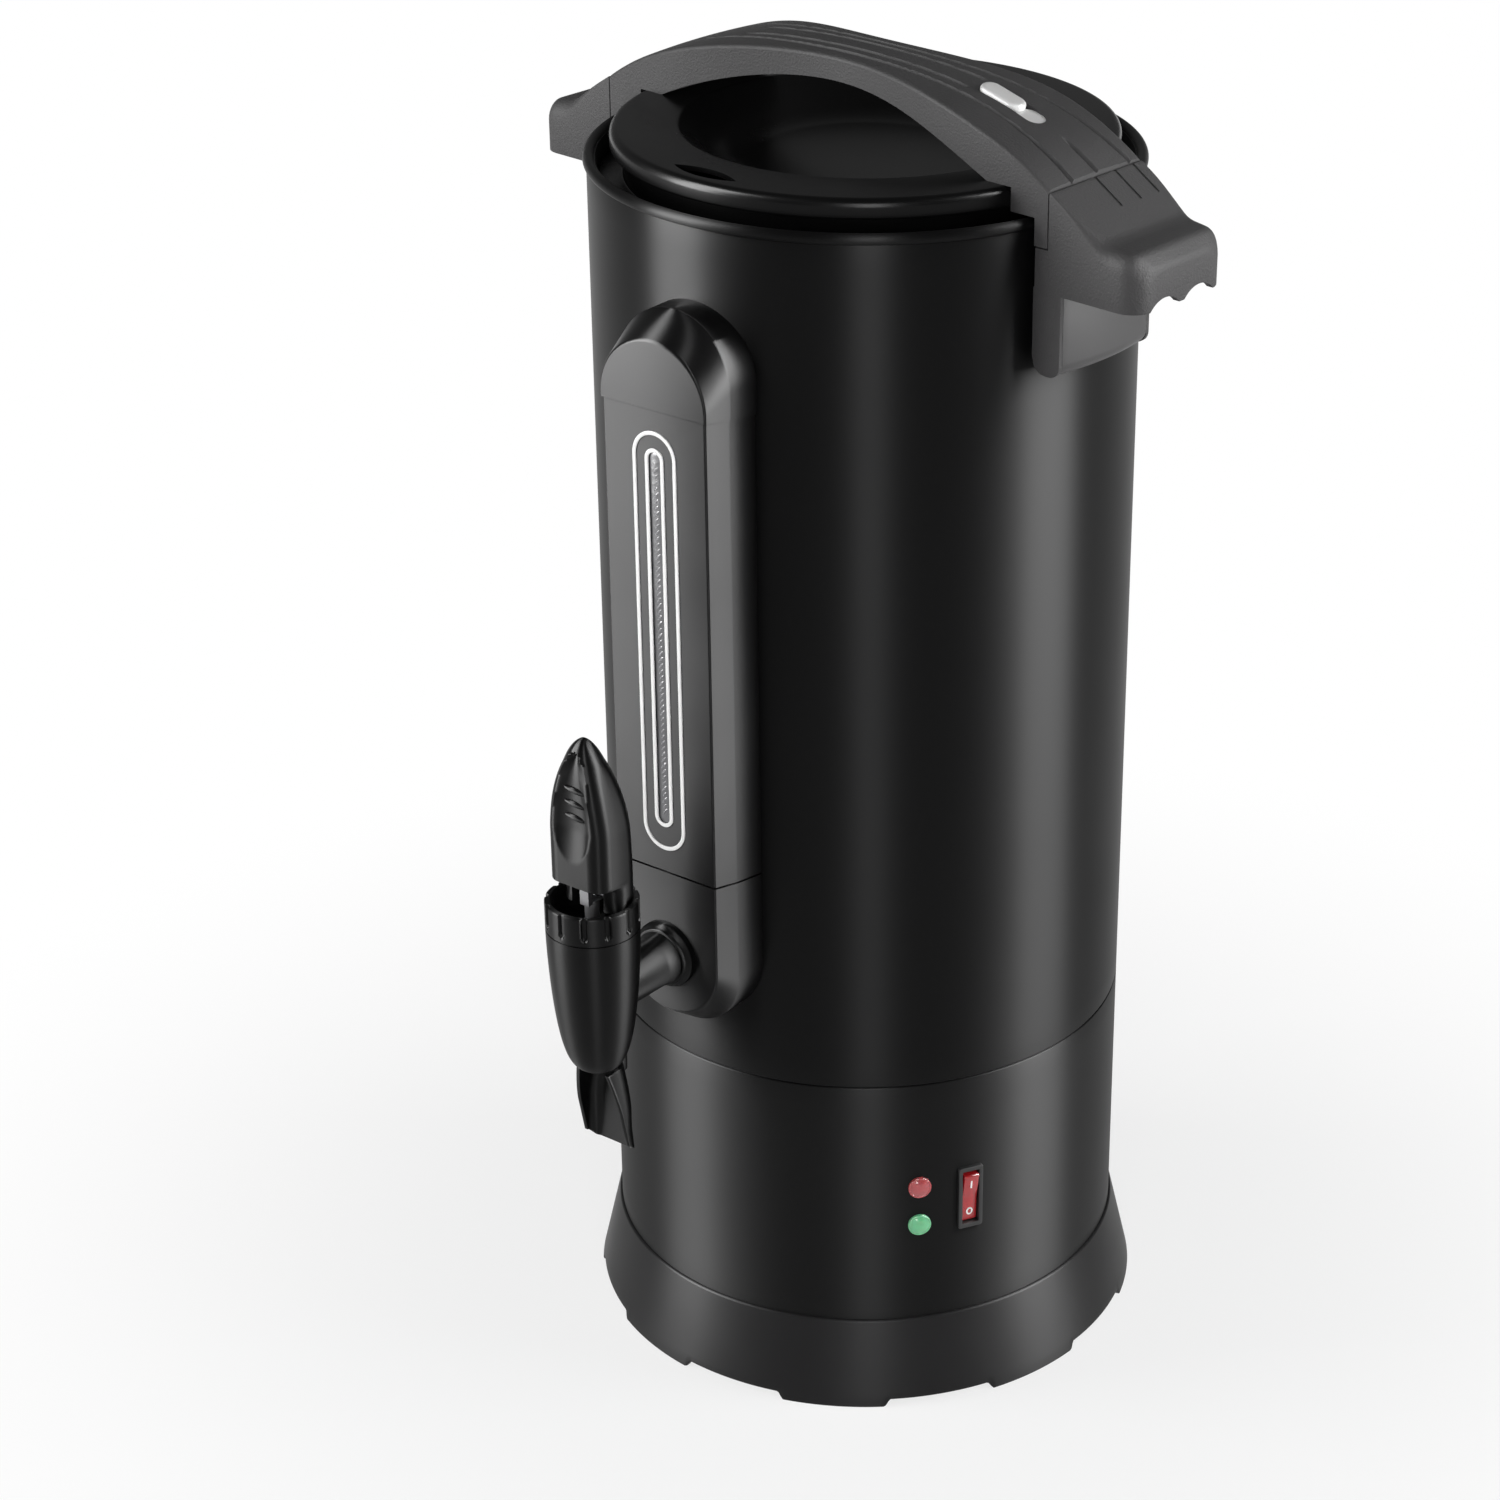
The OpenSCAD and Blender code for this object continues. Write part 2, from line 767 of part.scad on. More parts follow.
inlet_proud = 2.2;
socket_deep = 16;
socket_floor = -(body_r + inlet_proud - socket_deep);
module power_inlet() {
  flange = 2;
  pocket = 2.3;
  color("#18181a") from_front(180) difference() {
    union() {
      difference() {
        block([-inlet_w / 2 - flange, inlet_w / 2 + flange], [-body_r - inlet_proud, -body_r + 4],
          [inlet_z - inlet_h / 2 - flange, inlet_z + inlet_h / 2 + flange]);
        rod_z(body_r, 0, shell_top);
      }
      block([-inlet_w / 2, inlet_w / 2], [-body_r, -body_r + socket_deep + 6],
        [inlet_z - inlet_h / 2, inlet_z + inlet_h / 2]);
    }
    block([-inlet_w / 2 + pocket, inlet_w / 2 - pocket], [-body_r - 2 * inlet_proud, socket_floor],
      [inlet_z - inlet_h / 2 + pocket, inlet_z + inlet_h / 2 - pocket]);
  }
}

module inlet_pins() {
  pin_l = 9;
  color("#b9bbbe") from_front(180) for (i = [-1 : 1]) {
    z = inlet_z + (i == 0 ? 2 : -2);
    block([7 * i - 1, 7 * i + 1], [socket_floor - pin_l, socket_floor], [z - 2, z + 2]);
  }
}

// Sight gauge: a stadium at the shell, drawn in to a smaller one at the face
module gauge_form(over) {
  hull() {
    prism_y(face_y - over, face_y - over + eps)
      stadium(gauge_half - face_inset + over, gauge_low + face_end, gauge_high - face_end + over);
    prism_y(face_y + flank_deep, -0.8 * body_r) stadium(gauge_half + over, gauge_low, gauge_high + over);
  }
}

hollow_inset = face_inset + gauge_wall;
hollow_end = face_end + gauge_wall;
module gauge_skin(low, high, over) {
  difference() {
    intersection() {
      gauge_form(over);
      block([-2 * gauge_half, 2 * gauge_half], [2 * face_y, 0], [low, high]);
    }
    prism_y(face_y + gauge_wall, -0.7 * body_r)
      stadium(gauge_half - hollow_inset, gauge_low + hollow_end, gauge_high - hollow_end);
    rod_z(body_r, 0, shell_top);
  }
}

module gauge_bottom_cap() {
  color("#3b3a3c") difference() {
    gauge_skin(gauge_low, cut_low, 0);
    rod_y(thread_r + run_fit, 2 * face_y, face_y + 2 * gauge_wall, 0, shank_z);
  }
}

panel_post_x = 16;
cap_post_x = 14;
module gauge_panel() {
  window = sight_half - trim_line;
  color("#3b3a3c") {
    difference() {
      gauge_skin(cut_low, cut_high, 0);
      prism_y(2 * face_y, face_y + 2 * gauge_wall)
        stadium(window, sight_low + trim_line, sight_high - trim_line);
    }
    for (x = [-panel_post_x, panel_post_x]) {
      for (z = panel_post_z) {
        rod_y(3, face_y + gauge_wall / 2, bracket_y, x, z);
      }
    }
  }
}

module gauge_top_cap() {
  color("#3b3a3c") {
    gauge_skin(cut_high, gauge_high + 2 * cap_over, cap_over);
    for (x = [-cap_post_x, cap_post_x]) {
      rod_y(2.5, face_y + gauge_wall / 2, bracket_y, x, bracket_top - 4);
    }
  }
}

module trim_loop(half, low, high) {
  color("#eeeeec") prism_y(face_y - trim_t, face_y) difference() {
    stadium(half, low, high);
    stadium(half - trim_line, low + trim_line, high - trim_line);
  }
}

module window_trim() {
  trim_loop(trim_half, trim_low, trim_high);
}

module tube_trim() {
  trim_loop(sight_half, sight_low, sight_high);
}

module window_pane() {
  inset = trim_line + run_fit;
  color("#c9cccf") prism_y(face_y + pane_back, face_y + gauge_wall)
    stadium(sight_half - inset, sight_low + inset, sight_high - inset);
}

module sight_tube() {
  color("#d9dde0") translate([0, tube_y, 0])
    ring(tube_r - tube_wall, tube_r, cup_low_top - tube_seat, cup_high_low + tube_seat);
}

module scale_plate() {
  front = tube_y + tube_r + 1;
  half = 9;
  color("#c9cacc") {
    block([-half, half], [front, front + 1], [cup_low_top + 0.5, cup_high_low - 0.5]);
    for (z = [sight_low + 10, sight_high - 10]) {
      block([-half / 2, half / 2], [front + 0.5, bracket_y], [z - 4, z + 4]);
    }
  }
}

module gauge_cup(low, high, port_z, seat_low, seat_high) {
  difference() {
    union() {
      translate([0, tube_y, 0]) rod_z(cup_r, low, high);
      rod_y(port_r, tube_y, -0.8 * tank_r, 0, port_z);
    }
    translate([0, tube_y, 0]) rod_z(tube_r + run_fit, seat_low, seat_high);
    translate([0, tube_y, 0]) rod_z(well_r, min(port_z - well_r, seat_low), max(port_z + well_r, seat_high));
    rod_y(port_bore, tube_y, 0, 0, port_z);
    rod_z(tank_r, 0, shell_top);
  }
}

module gauge_lower_cup() {
  color("#202022")
    gauge_cup(cup_low_z, cup_low_top, port_low, cup_low_top - tube_seat, cup_low_top + eps);
}

module gauge_upper_cup() {
  color("#202022")
    gauge_cup(cup_high_low, cup_high_top, port_high, cup_high_low - eps, cup_high_low + tube_seat);
}

module gauge_bracket() {
  color("#4a4b4e") difference() {
    union() {
      block([-bracket_half, bracket_half], [bracket_y, bracket_y + bracket_t], [bracket_low, bracket_top]);
      for (z = [sight_low + 20, sight_high - 20]) {
        rod_y(5, bracket_y, -0.9 * body_r, 0, z);
      }
    }
    rod_z(body_r, 0, shell_top);
    for (z = [port_low, port_high]) {
      rod_y(port_r + run_fit, 2 * bracket_y, 0, 0, z);
    }
  }
}

// Tap
tap_steps = 16;
tap_curve = 1.5;
tap_blunt = 0.235;
tap_end = pow(1 - pow(spout_r / tap_head_r, 1 / tap_blunt), 1 / tap_curve);
function tap_radius(t) = tap_head_r * pow(1 - pow(t, tap_curve), tap_blunt);
function tap_share(i) = tap_end * (1 - pow(1 - i / tap_steps, 2));
module tap_body() {
  color("#1a1a1b") difference() {
    union() {
      translate([0, tap_y, 0]) rotate_extrude() polygon(concat(
        [[0, tap_low], [0, tap_top]],
        [for (i = [0 : tap_steps]) [
          tap_radius(tap_share(i)),
          tap_top - (tap_top - tap_low) * tap_share(i) / tap_end
        ]]
      ));
      rod_y(shank_r, tap_y, face_y, 0, shank_z);
      rod_y(thread_r, face_y - eps, -tank_in + 13, 0, shank_z);
    }
    translate([0, tap_y, 0]) {
      rod_z(chamber_r, seat_top, tap_top + eps);
      rod_z(seat_bore, outlet_low, tap_top);
      rod_z(outlet_r, outlet_low, seat_low);
      rod_z(spout_bore, tap_low - eps, outlet_low + eps);
    }
    rod_y(shank_bore, tap_y, 0, 0, shank_z);
    block([-paddle_slot, paddle_slot], [tap_y + 5, tap_y + 2 * tap_head_r],
      [tap_low - eps, paddle_z + hub_r + 2 * free_gap]);
    rod_x(paddle_pin_r + run_fit, -tap_head_r, tap_head_r, paddle_y, paddle_z);
  }
}

module shank_collar() {
  step = collar_t / 2;
  color("#222223") translate([0, face_y, shank_z]) rotate([90, 0, 0]) rotate_extrude() polygon([
    [shank_r + run_fit, 0],
    [collar_r, 0],
    [collar_r, step],
    [collar_r - 0.3 * step, step + 0.7 * step],
    [collar_r - step / 2, collar_t],
    [shank_r + run_fit, collar_t]
  ]);
}

module shank_spacer() {
  color("#2c2c2e") difference() {
    rod_y(thread_r + 3.5, face_y + gauge_wall, -0.9 * body_r, 0, shank_z);
    rod_y(thread_r + run_fit, 2 * face_y, 0, 0, shank_z);
    rod_z(body_r, 0, shell_top);
  }
}

gasket_front = -(tank_in - 3.5);
module shank_gasket() {
  color("#b5533c") intersection() {
    difference() {
      rod_y(thread_r + 4.5, -tank_r, gasket_front, 0, shank_z);
      rod_y(thread_r + run_fit, -tank_r - eps, 0, 0, shank_z);
    }
    rod_z(tank_in, tank_floor, shell_top, $fn = fine);
  }
}

module shank_nut() {
  nut_t = 7;
  color("#9a9ca0") difference() {
    translate([0, gasket_front + nut_t, shank_z]) rotate([90, 0, 0])
      cylinder(r = thread_r + 5.5, h = nut_t, $fn = 6);
    rod_y(thread_r + run_fit, -tank_r, 0, 0, shank_z);
  }
}

lug_in = 3.5;
lug_out = cheek_in - free_gap - 0.2;
lug_half = 3.9;
module tap_bonnet() {
  groove_low = tap_top + 2.6 + groove_w / 2;
  plug_deep = 5;
  color("#1a1a1b") {
    translate([0, tap_y, 0]) difference() {
      rod_z(tap_head_r, tap_top, bonnet_top);
      rod_z(bonnet_r, tap_top + bonnet_floor, bonnet_top + eps);
      rod_z(stem_r + run_fit, tap_top - eps, bonnet_top);
      for (i = [0 : groove_count - 1]) {
        from_front(360 * i / groove_count) {
          block([-groove_w / 2, groove_w / 2], [-2 * tap_head_r, -tap_head_r + groove_d],
            [groove_low, bonnet_top + eps]);
          rod_y(groove_w / 2, -2 * tap_head_r, -tap_head_r + groove_d, 0, groove_low);
        }
      }
    }
    translate([0, tap_y, 0])
      ring(spring_collar_r + 0.6, chamber_r - run_fit, tap_top - plug_deep, tap_top + eps);
    for (side = [0, 1]) {
      mirror([side, 0, 0]) difference() {
        prism_x(lug_in, lug_out) union() {
          translate([pivot_y, pivot_z]) circle(lug_half);
          translate([pivot_y - lug_half, tap_top + eps]) square([2 * lug_half, pivot_z - tap_top - eps]);
        }
        rod_x(lever_pin_r + run_fit, 0, lever_half, pivot_y, pivot_z);
      }
    }
  }
}

// The lever's front outline and side outline are formulas; the lever is where both meet
lever_steps = 14;
lever_round_z = bonnet_top + 0.44 * lever_h;
module lever_front_outline() {
  rise = lever_top - lever_round_z;
  right = concat(
    [[lever_foot - 1.9, lever_low], [lever_foot, lever_low + 12], [lever_half, lever_low + 22]],
    [for (i = [0 : lever_steps]) let (s = sin(90 * i / lever_steps))
      [lever_half * pow(1 - s * s, 0.58), lever_round_z + rise * s]]
  );
  polygon(concat(right, [for (i = [len(right) - 1 : -1 : 0]) [-right[i][0], right[i][1]]]));
}

module lever_side_outline() {
  front = tap_y - lever_front;
  back = tap_y + lever_back;
  lean = 6.2;
  bend_z = lever_low + 14;
  front_bend = lever_top - 25;
  polygon(concat(
    [
      [front, lever_low + 18],
      [tap_y - foot_front, lever_low + 10],
      [tap_y - foot_front + 5.5, lever_low + 3],
      [tap_y, lever_low + 0.7],
      [pivot_y - 2, lever_low],
      [pivot_y + 2.4, lever_low + 1.9],
      [back, lever_low + 6.4]
    ],
    [for (i = [0 : lever_steps]) let (s = i / lever_steps)
      [back - (back - front - lean) * pow(s, 2.6), bend_z + (lever_top - bend_z) * s]],
    [for (i = [lever_steps : -1 : 0]) let (s = i / lever_steps)
      [front + lean * s * s, front_bend + (lever_top - front_bend) * s]]
  ));
}

module tap_lever() {
  scoop_ball = 30;
  scoop_deep = 1.2;
  pocket_front = tap_y - lever_front + 2.5;
  color("#1f1f20") difference() {
    intersection() {
      prism_y(tap_y - 2 * lever_front, tap_y + 2 * lever_back) lever_front_outline();
      prism_x(-2 * lever_half, 2 * lever_half) lever_side_outline();
    }
    block([-cheek_in, cheek_in], [pocket_front, tap_y + 3 * lever_back], [lever_low - eps, pivot_z + 14]);
    translate([0, tap_y - lever_front - scoop_ball + scoop_deep, lever_round_z + 9]) sphere(scoop_ball);
    rod_x(lever_pin_r + run_fit, -pin_half - 0.3, pin_half + 0.3, pivot_y, pivot_z);
    rod_x(link_pin_r + run_fit, -pin_half - 0.3, pin_half + 0.3, tap_y, pivot_z);
  }
}

module lever_pin() {
  color("#a7a9ac") rod_x(lever_pin_r, -pin_half, pin_half, pivot_y, pivot_z);
}

module link_pin() {
  color("#a7a9ac") rod_x(link_pin_r, -pin_half, pin_half, tap_y, pivot_z);
}

tongue_half = 2.2;
tail_half = 3.9;
tail_low = paddle_z - 4;
spring_collar_r = 6;
spring_collar_t = 2;
module eye(z, half_y, low, high, slot_half_z) {
  slot_y = 2.9;
  prism_x(-tongue_half, tongue_half) difference() {
    translate([tap_y - half_y, low]) square([2 * half_y, high - low]);
    for (y = [tap_y - slot_y + slot_half_z, tap_y + slot_y - slot_half_z]) {
      translate([y, z]) circle(slot_half_z);
    }
    translate([tap_y - slot_y + slot_half_z, z - slot_half_z])
      square([2 * (slot_y - slot_half_z), 2 * slot_half_z]);
  }
}

module tap_stem() {
  head_half = 4.6;
  head_low = pivot_z - 5;
  color("#bfc1c3") {
    translate([0, tap_y, 0]) {
      rod_z(stem_r, poppet_low - eps / 2, head_low + eps);
      rod_z(spring_collar_r, spring_top, spring_top + spring_collar_t);
    }
    eye(pivot_z, head_half, head_low, pivot_z + link_slot + 1.6, link_slot);
    eye(paddle_z, tail_half, tail_low, poppet_low, trip_pin_r + free_gap);
  }
}

module seat_cup() {
  color("#c8c4ba") translate([0, tap_y, 0]) ring(stem_r + run_fit, poppet_r, poppet_low, poppet_top);
}

// Return spring: one tube swept along a helix round the stem
spring_turns = 7;
spring_wire = 0.7;
spring_r = 4.6;
spring_rings = 16;
spring_sides = 6;
spring_low_z = seat_top + spring_wire + 0.1;
spring_rise = spring_top - spring_wire - 0.1 - spring_low_z;
function helix_point(i, j) =
  let (turn = 360 * i / spring_rings, side = 360 * j / spring_sides, r = spring_r + spring_wire * cos(side))
  [r * cos(turn), r * sin(turn),
    spring_low_z + spring_rise * i / (spring_turns * spring_rings) + spring_wire * sin(side)];
module tap_spring() {
  n = spring_turns * spring_rings;
  s = spring_sides;
  points = [for (i = [0 : n]) for (j = [0 : s - 1]) helix_point(i, j)];
  walls = [for (i = [0 : n - 1]) for (j = [0 : s - 1])
    let (a = i * s + j, b = i * s + (j + 1) % s)
    each [[a, a + s, b], [b, a + s, b + s]]];
  first = [for (j = [1 : s - 2]) [0, j, j + 1]];
  last = [for (j = [1 : s - 2]) [n * s, n * s + j + 1, n * s + j]];
  color("#9fa2a6") translate([0, tap_y, 0]) polyhedron(points, concat(walls, first, last));
}

module paddle_plan(half, back, r, front) {
  translate([-half, front]) square([2 * half, back - r - front]);
  translate([-half + r, front]) square([2 * (half - r), back - front]);
  for (x = [-half + r, half - r]) {
    translate([x, back - r]) circle(r);
  }
}

module cup_paddle() {
  trough_front = tap_y + 0.5;
  trough_back = trough_front + paddle_depth;
  trough_top = tap_low + 1.1;
  corner = 7;
  tine_in = tongue_half + free_gap;
  tine_out = tine_in + 1.9;
  tine_half = 1.5;
  arm_front = tap_y - 2;
  neck_half = paddle_slot - 0.6;
  color("#1d1d1e") {
    intersection() {
      translate([0, 0, paddle_low]) linear_extrude(trough_top - paddle_low) difference() {
        paddle_plan(paddle_half, trough_back, corner, trough_front);
        paddle_plan(paddle_half - paddle_wall, trough_back - paddle_wall, corner - paddle_wall,
          trough_front - paddle_half);
      }
      prism_y(2 * tap_y, 0) union() {
        translate([0, paddle_low + paddle_half]) circle(paddle_half);
        translate([-paddle_half, paddle_low + paddle_half]) square([2 * paddle_half, tap_top - paddle_low]);
      }
    }
    difference() {
      union() {
        rod_x(hub_r, -neck_half, neck_half, paddle_y, paddle_z);
        block([-neck_half, neck_half], [trough_back - paddle_wall, paddle_y + 2.2], [tap_low - 6, paddle_z]);
        for (side = [0, 1]) {
          mirror([side, 0, 0])
            block([tine_in, tine_out], [arm_front, paddle_y], [paddle_z - tine_half, paddle_z + tine_half]);
        }
      }
      rod_x(paddle_pin_r + run_fit, -paddle_half, paddle_half, paddle_y, paddle_z);
    }
    rod_x(trip_pin_r, -tine_out, tine_out, tap_y, paddle_z);
  }
}

module paddle_pin() {
  color("#a7a9ac") rod_x(paddle_pin_r, -paddle_slot - 2, paddle_slot + 2, paddle_y, paddle_z);
}

// Lid
module arch_screw_places() {
  for (x = [-leg_x, leg_x]) {
    for (y = [-leg_y, leg_y]) {
      translate([x, y, 0]) children();
    }
  }
}
arch_screw_r = 1.8;

module lid_shell() {
  edge_round = 3.2;
  w = lid_wall;
  vent_r = (vent_l * vent_l + vent_w * vent_w) / (4 * vent_w);
  vent_y = (dish_r + lid_r) / 2 + 4;
  color("#161617") top_set() difference() {
    rotate_extrude() polygon(concat(
      [
        [0, lid_floor],
        [dish_floor_r, lid_floor],
        [dish_r, lid_top - 0.9],
        [dish_r + 3, lid_top]
      ],
      [for (turn = [0 : 15 : 90]) [
        lid_r - edge_round + edge_round * sin(turn),
        lid_top - edge_round + edge_round * cos(turn)
      ]],
      [
        [lid_r, lid_edge],
        [neck_r, lid_edge],
        [neck_r, flange_low + w],
        [flange_r, flange_low + w],
        [flange_r, flange_low],
        [neck_r - w, flange_low],
        [neck_r - w, lid_edge + w],
        [lid_r - w, lid_edge + w],
        [lid_r - w, lid_top - edge_round],
        [lid_r - edge_round, lid_top - w],
        [dish_r + 3, lid_top - w],
        [dish_r + 1, lid_top - w - 0.9],
        [dish_floor_r + 0.6, lid_floor - w],
        [0, lid_floor - w]
      ]
    ));
    translate([0, -vent_y, lid_top - 2 * w]) linear_extrude(3 * w) intersection() {
      translate([0, vent_r - vent_w / 2]) circle(vent_r);
      translate([0, vent_w / 2 - vent_r]) circle(vent_r);
    }
    arch_screw_places() rod_z(arch_screw_r + run_fit, lid_top - 2 * w, lid_top + eps);
  }
}

module lid_liner() {
  w = liner_wall;
  color("#96989b") top_set() difference() {
    rotate_extrude() polygon([
      [0, liner_low],
      [liner_r, liner_low],
      [liner_r, flange_low - w],
      [liner_flange, flange_low - w],
      [liner_flange, flange_low],
      [liner_r - w, flange_low],
      [liner_r - w, liner_low + w],
      [0, liner_low + w]
    ]);
    liner_screw_places() rod_z(liner_screw_r + run_fit, flange_low - 2 * w, flange_low + eps);
  }
}

module lid_gasket() {
  color("#bdb9ae") top_set() ring(gasket_in, flange_r - 0.2, mouth_z + seat_gap, flange_low);
}

liner_screw_r = 0.7;
module liner_screw_places() {
  for (i = [0 : 5]) {
    from_front(60 * i) translate([0, -liner_screw_ring, 0]) children();
  }
}

module liner_screws() {
  liner_w = 1;
  color("#9fa1a5") top_set() liner_screw_places() {
    rod_z(2 * liner_screw_r - 0.2, flange_low - liner_w - 1, flange_low - liner_w);
    rod_z(liner_screw_r, flange_low - liner_w - 1, flange_low);
  }
}

// Arched handle: a plan outline with a waist and a side outline, both from formulas
module arch_plan(inset) {
  linear_extrude(2 * arch_top) polygon(concat(
    [for (x = arch_xs) [x * (1 - inset / arch_end), -arch_w(x) + inset]],
    [for (x = arch_xs) [-x * (1 - inset / arch_end), arch_w(x) - inset]]
  ));
}

module under_arch(down, low) {
  prism_y(-2 * arch_half, 2 * arch_half) polygon(concat(
    [[-arch_end, low]],
    [for (x = arch_xs) [x, arch_z(x) - down]],
    [[arch_end, low]]
  ));
}

module lock_frame() {
  translate([lock_x, 0, lock_z]) rotate([0, lock_slope, 0]) children();
}

bolt_hole_half = bolt_half + free_gap;
module bolt_hole() {
  lock_frame() block([bolt_tip - 8, bolt_tip + lock_travel + free_gap], [-bolt_hole_half, bolt_hole_half],
    [bolt_low - free_gap, bolt_top + free_gap]);
}

module arch_soffit(more) {
  intersection() {
    rod_y(arch_under_r + more, -2 * arch_half, 2 * arch_half, 0, shell_top + arch_under - arch_under_r);
    block([-leg_in, leg_in], [-2 * arch_half, 2 * arch_half], [0, 2 * arch_top]);
  }
}
leg_in = lid_r - 9.5;

module lid_handle() {
  floor_t = 2.5;
  color("#353436") top_set() difference() {
    intersection() {
      arch_plan(0);
      under_arch(0, lip_low);
    }
    arch_soffit(0);
    rod_z(lid_r + 0.3, 0, lid_top);
    rod_z(lip_r, 0, rest_z);
    difference() {
      arch_plan(cover_rim);
      under_arch(cover_t, 0);
    }
    difference() {
      intersection() {
        arch_plan(arch_wall);
        under_arch(cover_t - 0.01, 0);
      }
      arch_soffit(floor_t);
      rod_z(lid_r + 0.3 + floor_t, 0, lid_top + floor_t);
      rod_z(body_r + 3 * joint_out, 0, rest_z + floor_t);
      arch_screw_places() rod_z(2.6 * arch_screw_r, 0, arch_z(leg_x) - cover_t - 0.5);
    }
    block([leg_in - 10, arch_end - arch_wall], [-bolt_hole_half, bolt_hole_half],
      [rest_z + floor_t, lock_z - 8]);
    arch_screw_places() rod_z(arch_screw_r + run_fit, 0, lid_top + arch_screw_reach + screw_room);
    bolt_hole();
  }
}

module handle_cover() {
  color("#3b3a3c") top_set() difference() {
    intersection() {
      arch_plan(cover_rim);
      under_arch(0, 0);
    }
    under_arch(cover_t, 0);
    lock_frame() {
      translate([0, 0, -slot_reach]) linear_extrude(2 * slot_reach)
        rotate(90) stadium(slot_half, -slot_l / 2, slot_l / 2);
      block([-slot_l, slot_l / 2 + lock_travel + 1.5], [-slide_half - free_gap, slide_half + free_gap],
        [-slot_reach, slide_top + free_gap]);
    }
  }
}

module arch_screws() {
  head_t = 2;
  color("#8a8c90") top_set() arch_screw_places() {
    rod_z(2 * arch_screw_r, lid_top - lid_wall - head_t, lid_top - lid_wall);
    rod_z(arch_screw_r, lid_top - lid_wall - head_t, lid_top + arch_screw_reach);
  }
}

slide_half = slot_half + 2;
module lock_slider() {
  thumb_low = -slot_l / 2 + 0.5;
  thumb_up = 1.6;
  color("#f2f2f0") top_set() lock_frame() {
    block([-slot_l / 2 - 3.5, slot_l / 2 + 0.5], [-slide_half, slide_half], [slide_top - slide_t, slide_top]);
    translate([0, 0, slide_top - slide_t / 2]) linear_extrude(thumb_up - slide_top + slide_t / 2)
      rotate(-90) stadium(thumb_half, thumb_low, thumb_low + thumb_l);
  }
}

module latch_bolt() {
  root = slide_top - slide_t;
  color("#c3c5c7") top_set() lock_frame() prism_y(-bolt_half, bolt_half) polygon([
    [-6, root],
    [9, root],
    [bolt_tip - 8, bolt_top],
    [bolt_tip, bolt_top],
    [bolt_tip, bolt_low],
    [bolt_tip - 6.8, bolt_low],
    [bolt_tip - 12, bolt_low + 2.8],
    [2, root - 4]
  ]);
}

// Side handles
module grip_hood() {
  round_r = 9;
  back = body_r - 12;
  difference() {
    intersection() {
      prism_y(-arch_half, arch_half) polygon([
        [back, grip_step],
        [grip_in, grip_step],
        [grip_in, grip_crest],
        [grip_x - 18.5, grip_top_z + 2.6],
        [grip_x - 14, grip_top_z + 0.7],
        [grip_x - 9, grip_top_z],
        [grip_x - 4.5, grip_top_z - 0.2],
        [grip_x - 1.5, grip_top_z - 2],
        [grip_x, grip_top_z - 5.5],
        [grip_x, grip_low_z],
        [back, grip_low_z]
      ]);
      translate([0, 0, grip_low_z]) linear_extrude(4 * grip_low) union() {
        rounded([back - round_r, grip_x], [-arch_half, arch_half], round_r);
      }
    }
    intersection() {
      prism_y(-arch_half + grip_wall, arch_half - grip_wall) polygon([
        [pad_r + 1, grip_low_z - eps],
        [pad_r + 1, grip_crest - 12],
        [grip_x - 18, grip_top_z - 1.2],
        [grip_x - 9, grip_top_z - grip_wall],
        [grip_x - grip_wall - 2, grip_top_z - grip_wall],
        [grip_x - grip_wall, grip_top_z - grip_wall - 3],
        [grip_x - grip_wall, grip_low_z - eps]
      ]);
      translate([0, 0, grip_low_z - 2 * eps]) linear_extrude(4 * grip_low) union() {
        rounded([back - round_r, grip_x - grip_wall], [-arch_half + grip_wall, arch_half - grip_wall], 6);
      }
    }
    for (i = [-0.5, 0.5]) {
      prism_x(grip_x - 1.5 * grip_wall, grip_x + eps)
        translate([finger_pitch * i, grip_low_z - finger_ball + finger_d]) circle(finger_ball);
    }
  }
}
finger_ball = 12;

module grip_strips() {
  round_r = 8;
  intersection() {
    difference() {
      rod_z(pad_r - 1, pad_low_z, grip_low_z + grip_wall);
      block([0, 2 * body_r], [-pad_half - 0.1, pad_half + 0.1], [0, 2 * shell_top]);
    }
    prism_x(0.5 * body_r, 2 * body_r)
      rounded([-arch_half, arch_half], [pad_low_z, shell_top], round_r);
  }
}

module side_handle() {
  boss_r = 2.5 * screw_r;
  difference() {
    union() {
      difference() {
        union() {
          grip_hood();
          grip_strips();
        }
        rod_z(body_r + shadow_gap, 0, shell_top);
      }
      rod_x(boss_r, body_r - 4, body_r + shadow_gap + 3, 0, side_screw_z[1]);
    }
    rod_z(body_r, 0, shell_top);
    rod_x(screw_r + run_fit, 0, side_screw_end + eps, 0, side_screw_z[1]);
  }
}

module side_handle_right() {
  color("#39383a") top_set() difference() {
    side_handle();
    bolt_hole();
  }
}

module side_handle_left() {
  color("#39383a") top_set() mirror([1, 0, 0]) side_handle();
}

module handle_pad() {
  round_r = 8;
  corner_r = 2.5;
  foot_half = 20;
  color("#4a494b") difference() {
    intersection() {
      rod_z(pad_r, pad_low_z, grip_low_z);
      prism_x(0.5 * body_r, 2 * body_r) rounded([-pad_half, pad_half], [pad_low_z, shell_top], corner_r);
      prism_y(-arch_half, arch_half) rounded([0, pad_r], [pad_low_z, shell_top], round_r);
    }
    rod_z(body_r, 0, shell_top);
    for (side = [0, 1]) {
      mirror([0, side, 0]) intersection() {
        rod_z(body_r + shadow_gap, 0, shell_top);
        block([0, 2 * body_r], [foot_half, 2 * body_r], [0, shell_top]);
      }
    }
    rod_x(screw_r + run_fit, 0, side_screw_end + eps, 0, side_screw_z[0]);
  }
}
side_screw_end = body_r + 9;

module handle_pad_right() {
  top_set() handle_pad();
}

